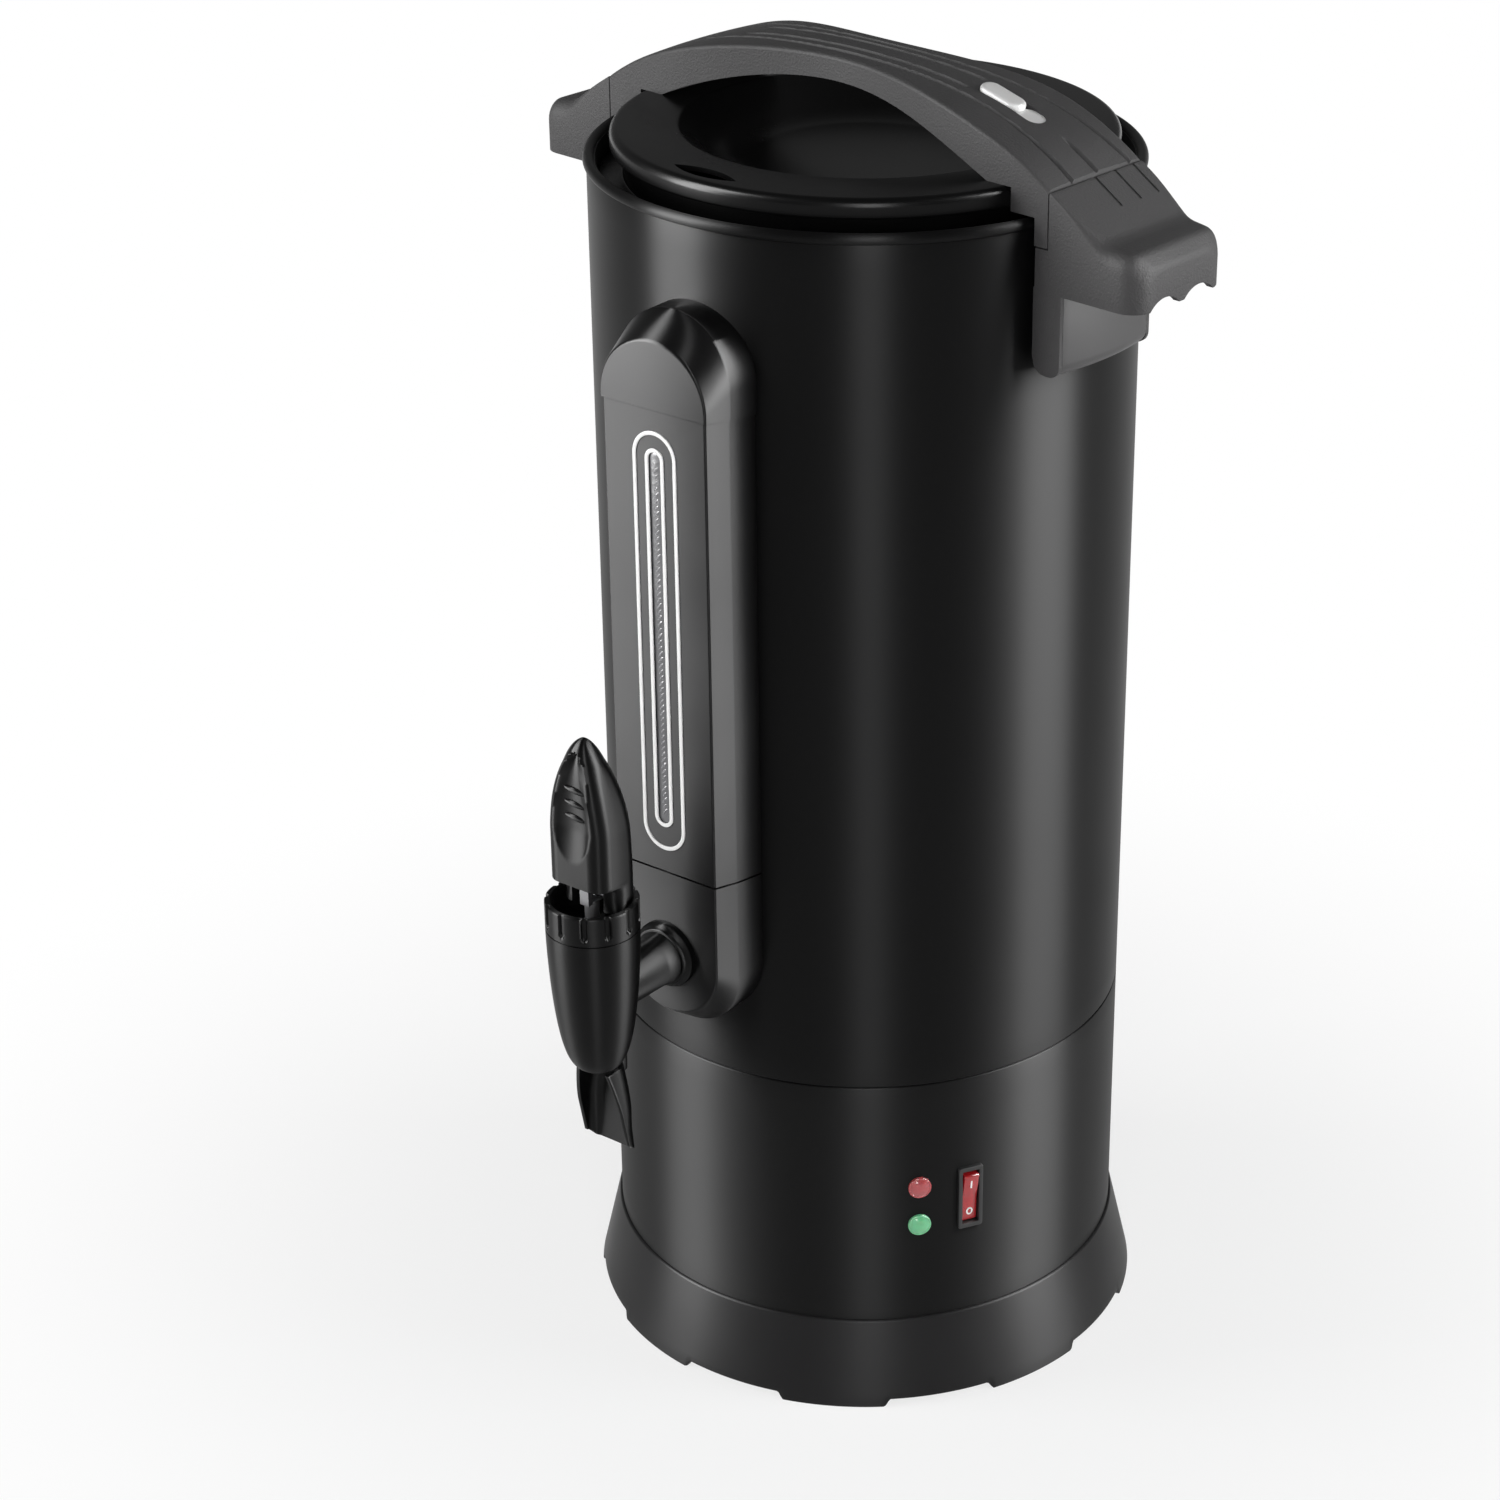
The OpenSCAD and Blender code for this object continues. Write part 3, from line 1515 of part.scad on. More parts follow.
module handle_pad_left() {
  top_set() mirror([1, 0, 0]) handle_pad();
}

module side_screws() {
  head_t = 2.4;
  color("#8a8c90") intersection() {
    side_screw_places() {
      rod_x(screw_r, shell_in - head_t, side_screw_end, 0, 0);
      intersection() {
        rod_x(2 * screw_r, shell_in - head_t, body_r, 0, 0);
        translate([0, 0, -shell_top]) rod_z(shell_in, 0, 2 * shell_top, $fn = fine);
      }
    }
    rod_z(2 * body_r, 0, shell_top);
  }
}

base_ring();
base_plate();
base_screws();
tank_posts();
lower_shell();
upper_shell();
seam_band();
inner_tank();
heater_plate();
heating_element();
keep_warm_band();
thermostat();
thermal_cutout();
terminal_block();
red_lamp();
green_lamp();
lamp_nuts();
switch_frame();
switch_rocker();
power_inlet();
inlet_pins();
gauge_bottom_cap();
gauge_panel();
gauge_top_cap();
window_trim();
tube_trim();
window_pane();
sight_tube();
scale_plate();
gauge_lower_cup();
gauge_upper_cup();
gauge_bracket();
tap_body();
shank_collar();
shank_spacer();
shank_gasket();
shank_nut();
tap_bonnet();
tap_lever();
lever_pin();
link_pin();
tap_stem();
seat_cup();
tap_spring();
cup_paddle();
paddle_pin();
lid_shell();
lid_liner();
lid_gasket();
liner_screws();
lid_handle();
handle_cover();
arch_screws();
lock_slider();
latch_bolt();
side_handle_right();
side_handle_left();
handle_pad_right();
handle_pad_left();
side_screws();
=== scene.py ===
import json
import math

import bmesh
import bpy
from mathutils import Matrix, Vector


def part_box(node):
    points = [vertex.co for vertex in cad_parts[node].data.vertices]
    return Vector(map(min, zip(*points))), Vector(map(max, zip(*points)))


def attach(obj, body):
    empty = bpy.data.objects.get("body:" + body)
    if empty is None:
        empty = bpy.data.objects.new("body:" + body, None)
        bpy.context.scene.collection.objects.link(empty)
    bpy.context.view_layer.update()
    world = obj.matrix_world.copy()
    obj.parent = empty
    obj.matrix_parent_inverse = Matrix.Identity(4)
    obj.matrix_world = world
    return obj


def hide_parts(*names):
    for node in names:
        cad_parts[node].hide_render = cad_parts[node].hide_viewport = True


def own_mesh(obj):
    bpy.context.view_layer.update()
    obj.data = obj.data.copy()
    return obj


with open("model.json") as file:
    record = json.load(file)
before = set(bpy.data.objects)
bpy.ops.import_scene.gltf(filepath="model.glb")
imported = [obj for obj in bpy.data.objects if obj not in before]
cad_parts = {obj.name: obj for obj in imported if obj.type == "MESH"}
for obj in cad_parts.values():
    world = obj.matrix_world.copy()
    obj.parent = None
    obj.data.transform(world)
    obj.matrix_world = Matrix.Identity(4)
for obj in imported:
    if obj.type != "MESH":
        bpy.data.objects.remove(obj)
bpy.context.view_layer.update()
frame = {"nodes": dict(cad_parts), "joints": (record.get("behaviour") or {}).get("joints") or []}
scene = bpy.context.scene


# Camera
# It looks down at the right front of the urn, with the tap to the left, and
# the picture is a crop from the left part of a wider frame.
camera_data = bpy.data.cameras.new("camera")
camera_data.lens = 86.34
camera_data.sensor_width = 36
camera_data.shift_x = -0.07697
camera_data.clip_end = 40
camera = bpy.data.objects.new("camera", camera_data)
camera.location = (0.8286, -1.1280, 0.9586)
camera.rotation_euler = (math.radians(63.482), 0, math.radians(36.3))
scene.collection.objects.link(camera)
scene.camera = camera


# Base ring
# A flared ring of satin black plastic, moulded in one piece. It stands on eight short feet with
# slanted ends, and its inward ledge carries the shell.
MM = 0.001


def node_box(node):
    """A node's lowest and highest corners, in millimetres."""
    low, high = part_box(node)
    return low / MM, high / MM


def fillet(corners, steps=5):
    """Rounds the corners (x, y, radius) of a closed outline with arcs."""
    outline = []
    for i, (x, y, radius) in enumerate(corners):
        here = Vector((x, y))
        if radius == 0:
            outline.append(here)
            continue
        back = Vector(corners[i - 1][:2]) - here
        ahead = Vector(corners[(i + 1) % len(corners)][:2]) - here
        half = back.angle(ahead) / 2
        reach = min(radius / math.tan(half), 0.49 * min(back.length, ahead.length))
        middle = here + (back.normalized() + ahead.normalized()).normalized() * reach / math.cos(half)
        start = here + back.normalized() * reach - middle
        end = here + ahead.normalized() * reach - middle
        sweep = math.atan2(start.cross(end), start.dot(end))
        for step in range(steps + 1):
            outline.append(middle + Matrix.Rotation(sweep * step / steps, 2) @ start)
    return outline


def tidy(piece, crease=32):
    """Merges doubled points, drops loose edges, turns the faces outwards and shades smooth up to a crease."""
    shape = bmesh.new()
    shape.from_mesh(piece.data)
    bmesh.ops.remove_doubles(shape, verts=shape.verts, dist=0.002 * MM)
    loose = [edge for edge in shape.edges if not edge.link_faces]
    bmesh.ops.delete(shape, geom=loose, context="EDGES")
    bmesh.ops.recalc_face_normals(shape, faces=shape.faces)
    shape.to_mesh(piece.data)
    shape.free()
    piece.data.shade_smooth()
    piece.data.set_sharp_from_angle(angle=math.radians(crease))
    return piece


def add_piece(name, points, faces, crease=32):
    """A mesh object from points in millimetres."""
    mesh = bpy.data.meshes.new(name)
    mesh.from_pydata([Vector(point) * MM for point in points], [], faces)
    piece = bpy.data.objects.new(name, mesh)
    scene.collection.objects.link(piece)
    return tidy(piece, crease)


def skin(name, rings, crease=32, ends="capped"):
    """Joins closed rings of points in a row; the two ends are capped, left open or joined together."""
    count = len(rings[0])
    last = (len(rings) - 1) * count
    faces = []
    for i in range(len(rings) if ends == "joined" else len(rings) - 1):
        here, after = i * count, (i + 1) % len(rings) * count
        for j in range(count):
            k = (j + 1) % count
            faces.append((here + j, here + k, after + k, after + j))
    if ends == "capped":
        faces += [tuple(range(count)), tuple(range(last, last + count))]
    return add_piece(name, [point for ring in rings for point in ring], faces, crease)


def turned(name, outline_at, steps=192):
    """Turns a closed outline of (radius, height) points round the vertical axis, from the front to +X."""
    rings = []
    for i in range(steps):
        turn = 360 * i / steps
        angle = math.radians(turn)
        rings.append([(r * math.sin(angle), -r * math.cos(angle), z) for r, z in outline_at(turn)])
    return skin(name, rings, ends="joined")


def dress(piece, material, body, slot, *stood_for):
    """Gives a piece its material and body, and hides the nodes that it stands for. The slot is not used."""
    piece.data.materials.clear()
    piece.data.materials.append(material)
    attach(piece, body)
    if stood_for:
        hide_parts(*stood_for)
    return piece


def grain_group():
    """Fine moulded grain as a height, and a slow drift of tone over the surface."""
    group = bpy.data.node_groups.new("moulded grain", "ShaderNodeTree")
    group.interface.new_socket("Grain scale", in_out="INPUT", socket_type="NodeSocketFloat")
    group.interface.new_socket("Drift scale", in_out="INPUT", socket_type="NodeSocketFloat")
    group.interface.new_socket("Height", in_out="OUTPUT", socket_type="NodeSocketFloat")
    group.interface.new_socket("Tone", in_out="OUTPUT", socket_type="NodeSocketFloat")
    add, link = group.nodes.new, group.links.new
    entry, leave = add("NodeGroupInput"), add("NodeGroupOutput")
    place = add("ShaderNodeTexCoord")
    grain, pits, drift = add("ShaderNodeTexNoise"), add("ShaderNodeTexVoronoi"), add("ShaderNodeTexNoise")
    grain.inputs["Detail"].default_value = 3
    drift.inputs["Detail"].default_value = 4
    blend = add("ShaderNodeMath")
    blend.operation = "MULTIPLY_ADD"
    blend.inputs[1].default_value = 0.45
    for texture in (grain, pits, drift):
        link(place.outputs["Object"], texture.inputs["Vector"])
    link(entry.outputs["Grain scale"], grain.inputs["Scale"])
    link(entry.outputs["Grain scale"], pits.inputs["Scale"])
    link(entry.outputs["Drift scale"], drift.inputs["Scale"])
    link(pits.outputs["Distance"], blend.inputs[0])
    link(grain.outputs["Fac"], blend.inputs[2])
    link(blend.outputs["Value"], leave.inputs["Height"])
    link(drift.outputs["Fac"], leave.inputs["Tone"])
    return group


moulded_grain = grain_group()


def finish(name, colour, rough, grain, bump, drift=14, tone=0.16, rough_swing=0.06, drawn=0, **constants):
    """A material with grain: grain counts its grains per metre, bump is its depth in millimetres, and drawn
    stretches its highlights upwards, as fine marks round the body do."""
    material = bpy.data.materials.new(name)
    material.use_nodes = True
    tree = material.node_tree
    add, link = tree.nodes.new, tree.links.new
    shader = tree.nodes["Principled BSDF"]
    effect = add("ShaderNodeGroup")
    effect.node_tree = moulded_grain
    effect.inputs["Grain scale"].default_value = grain
    effect.inputs["Drift scale"].default_value = drift
    mix = add("ShaderNodeMix")
    mix.data_type = "RGBA"
    mix.inputs[6].default_value = [c * (1 - tone) for c in colour] + [1]
    mix.inputs[7].default_value = [min(c * (1 + tone), 1) for c in colour] + [1]
    spread = add("ShaderNodeMapRange")
    spread.inputs["From Min"].default_value = 0.3
    spread.inputs["From Max"].default_value = 0.7
    spread.inputs["To Min"].default_value = rough - rough_swing
    spread.inputs["To Max"].default_value = rough + rough_swing
    relief = add("ShaderNodeBump")
    relief.inputs["Distance"].default_value = bump * MM
    link(effect.outputs["Tone"], mix.inputs[0])
    link(effect.outputs["Tone"], spread.inputs["Value"])
    link(effect.outputs["Height"], relief.inputs["Height"])
    link(mix.outputs[2], shader.inputs["Base Color"])
    link(spread.outputs["Result"], shader.inputs["Roughness"])
    link(relief.outputs["Normal"], shader.inputs["Normal"])
    if drawn:
        marks = add("ShaderNodeTangent")
        marks.direction_type = "RADIAL"
        marks.axis = "Z"
        link(marks.outputs["Tangent"], shader.inputs["Tangent"])
        shader.inputs["Anisotropic"].default_value = drawn
        shader.inputs["Anisotropic Rotation"].default_value = 0.25
    for socket, value in constants.items():
        shader.inputs[socket.replace("_", " ")].default_value = value
    return material


shell_low, shell_high = node_box("upper_shell")
shell_r = shell_high.x
base_high = node_box("base_ring")[1]
base_wall = 3.2
base_top_r = shell_r + 1
ledge_in = shell_r - 12
ledge_low = base_high.z - 3
soft_edge, foot_edge, top_edge, inner_corner = 0.6, 0.8, 1.2, 1
foot_count = 8
foot_turn = 29.6
foot_span = 21.5
foot_lift = 3.3
foot_slant = 1.0


def base_outline(angle):
    """Section of the base ring at an angle from the front, lifted between the feet."""
    pitch = 360 / foot_count
    off = abs((angle - foot_turn + pitch / 2) % pitch - pitch / 2)
    low = foot_lift * min(max((off - foot_span / 2) / foot_slant, 0), 1)
    knee = 2 * foot_lift
    flare = (base_high.x - base_top_r) / base_high.z
    return fillet([
        (base_high.x - flare * low - base_wall, low, soft_edge),
        (base_high.x - flare * low, low, foot_edge),
        (base_high.x - flare * knee, knee, 0),
        (base_top_r, base_high.z, top_edge),
        (ledge_in, base_high.z, soft_edge),
        (ledge_in, ledge_low, soft_edge),
        (base_top_r - base_wall, ledge_low, inner_corner),
        (base_high.x - flare * knee - base_wall, knee, 0),
    ])


base_black = finish("base black", (0.010, 0.0098, 0.0102), 0.4, 1800, 0.01, drift=10, tone=0.1,
                    drawn=0.8, Specular_IOR_Level=0.12)
foot_ring = turned("foot_ring", base_outline, steps=720)
dress(foot_ring, base_black, "root", "base_plastic", "base_ring")


# Lower and upper shell
# Two rolled tubes of sheet steel with black satin enamel. They meet at a fine seam, which a band
# inside joins, and the lower one has square holes for the switch and the power inlet.
def spun(name, outline, steps=192):
    """Turns one and the same outline all the way round the vertical axis."""
    return turned(name, lambda angle: outline, steps)


def wall_outline(low, high, radius, wall, edge=0.45, rows=12):
    """Section of a thin tube with softened edges and even rows up its outside."""
    heights = [low + (high - low) * i / rows for i in range(1, rows)]
    corners = fillet([(radius - wall, low, 0), (radius, low, edge),
                      (radius, high, edge), (radius - wall, high, 0)], 4)
    half = len(corners) // 2
    return corners[:half] + [Vector((radius, z)) for z in heights] + corners[half:]


def slab(name, outline, low, high, axis):
    """Extrudes a closed outline, read as (y, z) along x, as (x, z) along y and as (x, y) along z."""
    place = {"x": lambda p, d: (d, p[0], p[1]),
             "y": lambda p, d: (p[0], d, p[1]),
             "z": lambda p, d: (p[0], p[1], d)}[axis]
    return skin(name, [[place(p, depth) for p in outline] for depth in (low, high)])


def rectangle(x_low, x_high, y_low, y_high, radius=0):
    """Corners of a rectangle, each with the same radius."""
    return [(x_low, y_low, radius), (x_high, y_low, radius),
            (x_high, y_high, radius), (x_low, y_high, radius)]


def apply_modifiers(piece):
    """Turns a piece and its modifiers into a plain mesh."""
    bpy.context.view_layer.update()
    graph = bpy.context.evaluated_depsgraph_get()
    made = bpy.data.meshes.new_from_object(piece.evaluated_get(graph))
    piece.modifiers.clear()
    piece.data = made
    return piece


def combine(piece, tool, operation, crease=32):
    """Cuts, joins or intersects a piece with a tool, which is used up."""
    step = piece.modifiers.new(operation, "BOOLEAN")
    step.operation = operation
    step.solver = "EXACT"
    step.object = tool
    apply_modifiers(piece)
    bpy.data.objects.remove(tool)
    return tidy(piece, crease)


def soften(piece, width, limit=34, segments=3, crease=32):
    """Rounds the sharp edges of a piece."""
    bevel = piece.modifiers.new("soften", "BEVEL")
    bevel.width = width * MM
    bevel.segments = segments
    bevel.limit_method = "ANGLE"
    bevel.angle_limit = math.radians(limit)
    bevel.miter_outer = "MITER_ARC"
    apply_modifiers(piece)
    return tidy(piece, crease)


def from_front(piece, turn):
    """Turns a piece about the body's axis, from the front towards +X."""
    piece.data.transform(Matrix.Rotation(math.radians(turn), 4, "Z"))
    return piece


enamel = finish("shell enamel", (0.0018, 0.0018, 0.0019), 0.42, 2600, 0.003, drift=6, tone=0.08,
                rough_swing=0.03, drawn=0.95, Specular_IOR_Level=0.11)
lower_enamel = finish("lower enamel", (0.0022, 0.0022, 0.0023), 0.45, 2600, 0.003, drift=6, tone=0.08,
                      rough_swing=0.03, drawn=0.95, Specular_IOR_Level=0.15)
sheet_t = 1.0
seam_gap = 0.7
lower_low, lower_high = node_box("lower_shell")
switch_turn = 59.8
switch_low, switch_high = node_box("switch_frame")
switch_mid = (switch_low.z + switch_high.z) / 2
hole_half = 4.6
hole_up = 13.6
inlet_low, inlet_high = node_box("power_inlet")
inlet_rim = 2.5
cut_in, cut_out = 8, 5
lower_wall = spun("lower_wall", wall_outline(lower_low.z, lower_high.z - seam_gap, shell_r, sheet_t))
switch_plan = rectangle(-hole_half, hole_half, switch_mid - hole_up, switch_mid + hole_up)
switch_hole = slab("switch_hole", fillet(switch_plan), -shell_r - cut_out, -shell_r + cut_in, "y")
combine(lower_wall, from_front(switch_hole, switch_turn), "DIFFERENCE")
inlet_plan = rectangle(inlet_low.x + inlet_rim, inlet_high.x - inlet_rim,
                       inlet_low.z + inlet_rim, inlet_high.z - inlet_rim)
inlet_hole = slab("inlet_hole", fillet(inlet_plan), shell_r - cut_in, shell_r + cut_out, "y")
combine(lower_wall, inlet_hole, "DIFFERENCE")
dress(lower_wall, lower_enamel, "root", "shell_enamel", "lower_shell")
upper_wall = spun("upper_wall", wall_outline(shell_low.z, shell_high.z, shell_r, sheet_t, rows=36))
dress(upper_wall, enamel, "root", "shell_enamel", "upper_shell")


# Tank
# A spun stainless tank that hangs in the shell. Its mouth steps out to a ledge for the lid's seal and
# is rolled over the shell's edge in a bead, which is enamelled like the shell.
steel = finish("tank steel", (0.42, 0.42, 0.43), 0.4, 700, 0.004, drift=30, tone=0.04,
               rough_swing=0.02, Metallic=1.0)
tank_low, tank_high = node_box("inner_tank")
tank_r = 104
tank_wall = 1
tank_corner = 6
step_edge = 0.6
mouth_r = shell_r - 3.5
mouth_z = shell_high.z - 9.5
bead_r = 2.3
bead_mid = Vector((shell_r - 0.8, tank_high.z - bead_r))
bead_sweep = [math.radians(-60 + 8 * i) for i in range(31)]
tank_outline = fillet([(0, tank_low.z, 0), (tank_r, tank_low.z, tank_corner),
                       (tank_r, mouth_z - tank_wall, step_edge),
                       (mouth_r + tank_wall, mouth_z - tank_wall, step_edge),
                       (mouth_r + tank_wall, shell_high.z + 0.1, 0)])
tank_outline += [bead_mid + bead_r * Vector((math.cos(a), math.sin(a))) for a in bead_sweep]
tank_outline += [Vector(p) for p in ((mouth_r, bead_mid.y), (mouth_r, mouth_z + step_edge),
                                     (mouth_r - step_edge, mouth_z), (tank_r - tank_wall, mouth_z),
                                     (tank_r - tank_wall, tank_low.z + tank_corner),
                                     (tank_r - tank_corner, tank_low.z + tank_wall),
                                     (0, tank_low.z + tank_wall))]
tank_skin = spun("tank_skin", tank_outline)
dress(tank_skin, steel, "root", "tank_steel", "inner_tank")
tank_skin.data.materials.append(enamel)
for face in tank_skin.data.polygons:
    face.material_index = int(face.center.z > (mouth_z + 0.2) * MM)


# Lamps
# Two tinted lenses that clip into the lower shell, red for heating and green for keeping warm, each
# with a shallow dome inside a plain rim.
lamp_turn = 48.2
lens_r, lens_rim, lens_out = 5, 0.7, 1.2
lens_stem_r, lens_stem_in, lens_seat_in = 3.8, 3, 1
rim_step, rim_soft = 0.1, 0.3
dome_foot, dome_rise = 1.1, 1.2
dome_radii = 4, 3.6, 3, 2.2, 1.2, 0


def lens(name, colour, node, slot):
    """One lamp's lens with its rim, seated on the shell."""
    low, high = node_box(node)
    dome_r = lens_r - lens_rim
    outline = fillet([(0, -lens_stem_in, 0), (lens_stem_r, -lens_stem_in, 0),
                      (lens_stem_r, -lens_seat_in, 0), (lens_r, -lens_seat_in, 0),
                      (lens_r, lens_out, lens_rim), (dome_r, lens_out + rim_step, rim_soft)], 4)
    dome = [Vector((r, dome_foot + dome_rise * (1 - (r / dome_r) ** 2))) for r in dome_radii]
    piece = spun(name, outline + dome, steps=72)
    piece.data.transform(Matrix.Rotation(math.radians(lamp_turn), 4, "Z")
                         @ Matrix.Translation(Vector((0, -shell_r, (low.z + high.z) / 2)) * MM)
                         @ Matrix.Rotation(math.radians(90), 4, "X"))
    glass = finish(name + " plastic", colour, 0.22, 900, 0.02, drift=220, tone=0.22, Coat_Weight=0.4,
                   Subsurface_Weight=0.25, Subsurface_Scale=0.002)
    return dress(piece, glass, "root", slot, node)


lens("red_lens", (0.36, 0.055, 0.06), "red_lamp", "lamp_red")
lens("green_lens", (0.13, 0.45, 0.22), "green_lamp", "lamp_green")


# Switch
# A snap-in bezel of black plastic with a tinted red rocker. Pressed at the bottom it is off, and its
# two ends carry the plain line and ring marks of such switches.
def frame_of(name, outer, inner, low, high):
    """A flat frame between two closed outlines of as many points, extruded along y."""
    count = len(outer)
    points = [(p[0], y, p[1]) for y in (low, high) for ring in (outer, inner) for p in ring]
    faces = []
    for i in range(count):
        k = (i + 1) % count
        faces += [(i, k, count + k, count + i), (2 * count + i, 2 * count + k, 3 * count + k, 3 * count + i),
                  (i, k, 2 * count + k, 2 * count + i), (count + i, count + k, 3 * count + k, 3 * count + i)]
    return add_piece(name, points, faces)


def joint_of(name):
    """One joint of the part, by its name."""
    return next(joint for joint in frame["joints"] if joint["name"] == name)


def oval(across, upright, middle):
    """Points of an upright oval round a middle height."""
    turns = [math.radians(a) for a in range(0, 360, 12)]
    return [Vector((across * math.cos(a), middle + upright * math.sin(a))) for a in turns]


control_black = finish("control black", (0.010, 0.010, 0.0105), 0.38, 1800, 0.012)
bezel_half = 5.7
bezel_up = (switch_high.z - switch_low.z) / 2
bezel_proud, bezel_deep = 1.6, 9
bezel_round, gap_round = 1.2, 0.3
rocker_gap = 3.8
rocker_gap_up = 13.1
bezel_plan = rectangle(-bezel_half, bezel_half, switch_mid - bezel_up, switch_mid + bezel_up, bezel_round)
gap_plan = rectangle(-rocker_gap, rocker_gap,
                     switch_mid - rocker_gap_up, switch_mid + rocker_gap_up, gap_round)
bezel = frame_of("switch_bezel", fillet(bezel_plan), fillet(gap_plan),
                 -shell_r - bezel_proud, -shell_r + bezel_deep)
soften(bezel, 0.45, segments=2)
dress(from_front(bezel, switch_turn), control_black, "root", "control_black", "switch_frame")

rocker_red = finish("rocker red", (0.34, 0.010, 0.014), 0.2, 900, 0.006, drift=160, tone=0.2, Coat_Weight=0.5,
                    Subsurface_Weight=0.2, Subsurface_Scale=0.002)
rocker_joint = joint_of("rocker_press")
rocker_r = math.hypot(*rocker_joint["pos_m"][:2]) / MM
rocker_tilt = rocker_joint["range_deg"][1] / 2
rocker_half = 3.4
rocker_up = 12.2
rocker_tip, rocker_dip, rocker_side, rocker_back = -4.8, -3.8, -1, 3
rocker_outline = fillet([(rocker_tip, rocker_up, 0.8), (rocker_dip, 0, 14), (rocker_tip, -rocker_up, 0.8),
                         (rocker_side, -rocker_up, 1), (rocker_back, -rocker_up / 2, 1),
                         (rocker_back, rocker_up / 2, 1), (rocker_side, rocker_up, 1)], 6)
rocker = slab("rocker_key", rocker_outline, -rocker_half, rocker_half, "x")
soften(rocker, 0.4, segments=2)


def seat_rocker(piece):
    """Moves a piece of the rocker from its own pivot to its place in the switch."""
    piece.data.transform(Matrix.Rotation(math.radians(switch_turn), 4, "Z")
                         @ Matrix.Translation(Vector((0, -rocker_r, switch_mid)) * MM)
                         @ Matrix.Rotation(math.radians(rocker_tilt), 4, "X"))
    return piece


dress(seat_rocker(rocker), rocker_red, "rocker", "rocker_red", "switch_rocker")
mark_white = finish("mark white", (0.78, 0.78, 0.77), 0.45, 1200, 0.006)
line_front, ring_front, mark_back = -4.55, -4.62, -4.2
line_half, line_low, line_high = 0.35, 5.2, 9.2
ring_mid = -7.4
line_plan = rectangle(-line_half, line_half, line_low, line_high, 0.3)
line_mark = slab("on_mark", fillet(line_plan), line_front, mark_back, "y")
ring_mark = frame_of("off_mark", oval(1.5, 1.9, ring_mid), oval(0.85, 1.25, ring_mid), ring_front, mark_back)
for mark in (line_mark, ring_mark):
    dress(seat_rocker(mark), mark_white, "rocker", "trim_white")


# Sight gauge housing
# Three mouldings of dark satin plastic on a bracket in front of the shell: a round lower cap, a
# straight panel with the window, and a round upper cap that stands a little proud of it.
gauge_low, gauge_high = node_box("gauge_panel")
face_y = gauge_low.y
gauge_half = gauge_high.x
cut_low, cut_high = gauge_low.z, gauge_high.z
cap_low = node_box("gauge_bottom_cap")[0].z
cap_over = -node_box("gauge_top_cap")[0].y + face_y
cap_high = node_box("gauge_top_cap")[1].z - cap_over
cut_fall = 0.16
lower_gap, upper_gap = 0.9, 0.3
face_round = 0.9
face_inset, face_end, flank_deep = 1.7, 9, 13
flank_near = 0.08
shell_sink = 0.7
gauge_crease = 26
cap_steps = 64


def shell_front(x):
    """Depth of the shell's front at a place across it, a little inside the sheet."""
    return -math.sqrt((shell_r - shell_sink) ** 2 - x ** 2)


def gauge_section(over):
    """Side insets, end insets and depths from the shell to the face: a flank, a slant and a round edge."""
    rows = [(-over, -over, None), (-over, -over, face_y + flank_deep)]
    for angle in [math.radians(15 * i) for i in range(7)]:
        rise = face_round * (1 - math.sin(angle))
        share = 1 - rise / (flank_deep + over)
        bend = face_round * (1 - math.cos(angle)) - over
        rows.append((face_inset * share + bend, face_end * share + bend, face_y - over + rise))
    slant = rows[2]
    near = [rows[1][k] + (slant[k] - rows[1][k]) * flank_near for k in range(3)]
    return rows[:2] + [tuple(near)] + rows[2:]


def gauge_moulding(name, path, over):
    """Lofts a U-shaped path from the shell to the face; path(side, end) gives its (x, z) points."""
    points, count = [], len(path(0, 0))
    section = gauge_section(over)
    for side, end, depth in section:
        for x, z in path(side, end):
            points.append((x, shell_front(x) if depth is None else depth, z))
    faces = []
    for k in range(len(section) - 1):
        for i in range(count - 1):
            a, b = k * count + i, (k + 1) * count + i
            faces.append((a, a + 1, b + 1, b))
    last = (len(section) - 1) * count
    faces.append(tuple(range(last, last + count)))
    faces.append(tuple(range(count)))
    ends = [[k * count for k in range(len(section))], [k * count + count - 1 for k in range(len(section))]]
    faces.append(tuple(ends[0] + ends[1][::-1]))
    return add_piece(name, points, faces, gauge_crease)


def shear_cut(piece, height, fall):
    """Lowers the points of a joint towards the shell, so that the joint falls backwards."""
    for point in piece.data.vertices:
        if abs(point.co.z / MM - height) < 0.01:
            point.co.z -= fall * (point.co.y - face_y * MM)
    return piece


def upper_path(side, end):
    """The upper cap's outline: up from the joint, round the half circle and down again."""
    half = gauge_half - side
    arc = [math.radians(180 * i / cap_steps) for i in range(cap_steps + 1)]
    return ([(half, cut_high + upper_gap)]
            + [(half * math.cos(a), cap_high - end - half + half * math.sin(a)) for a in arc]
            + [(-half, cut_high + upper_gap)])


def lower_path(side, end):
    """The lower cap's outline: down from the joint, round the half circle and up again."""
    half = gauge_half - side
    arc = [math.radians(180 + 180 * i / cap_steps) for i in range(cap_steps + 1)]
    return ([(-half, cut_low - lower_gap)]
            + [(half * math.cos(a), cap_low + end + half + half * math.sin(a)) for a in arc]
            + [(half, cut_low - lower_gap)])


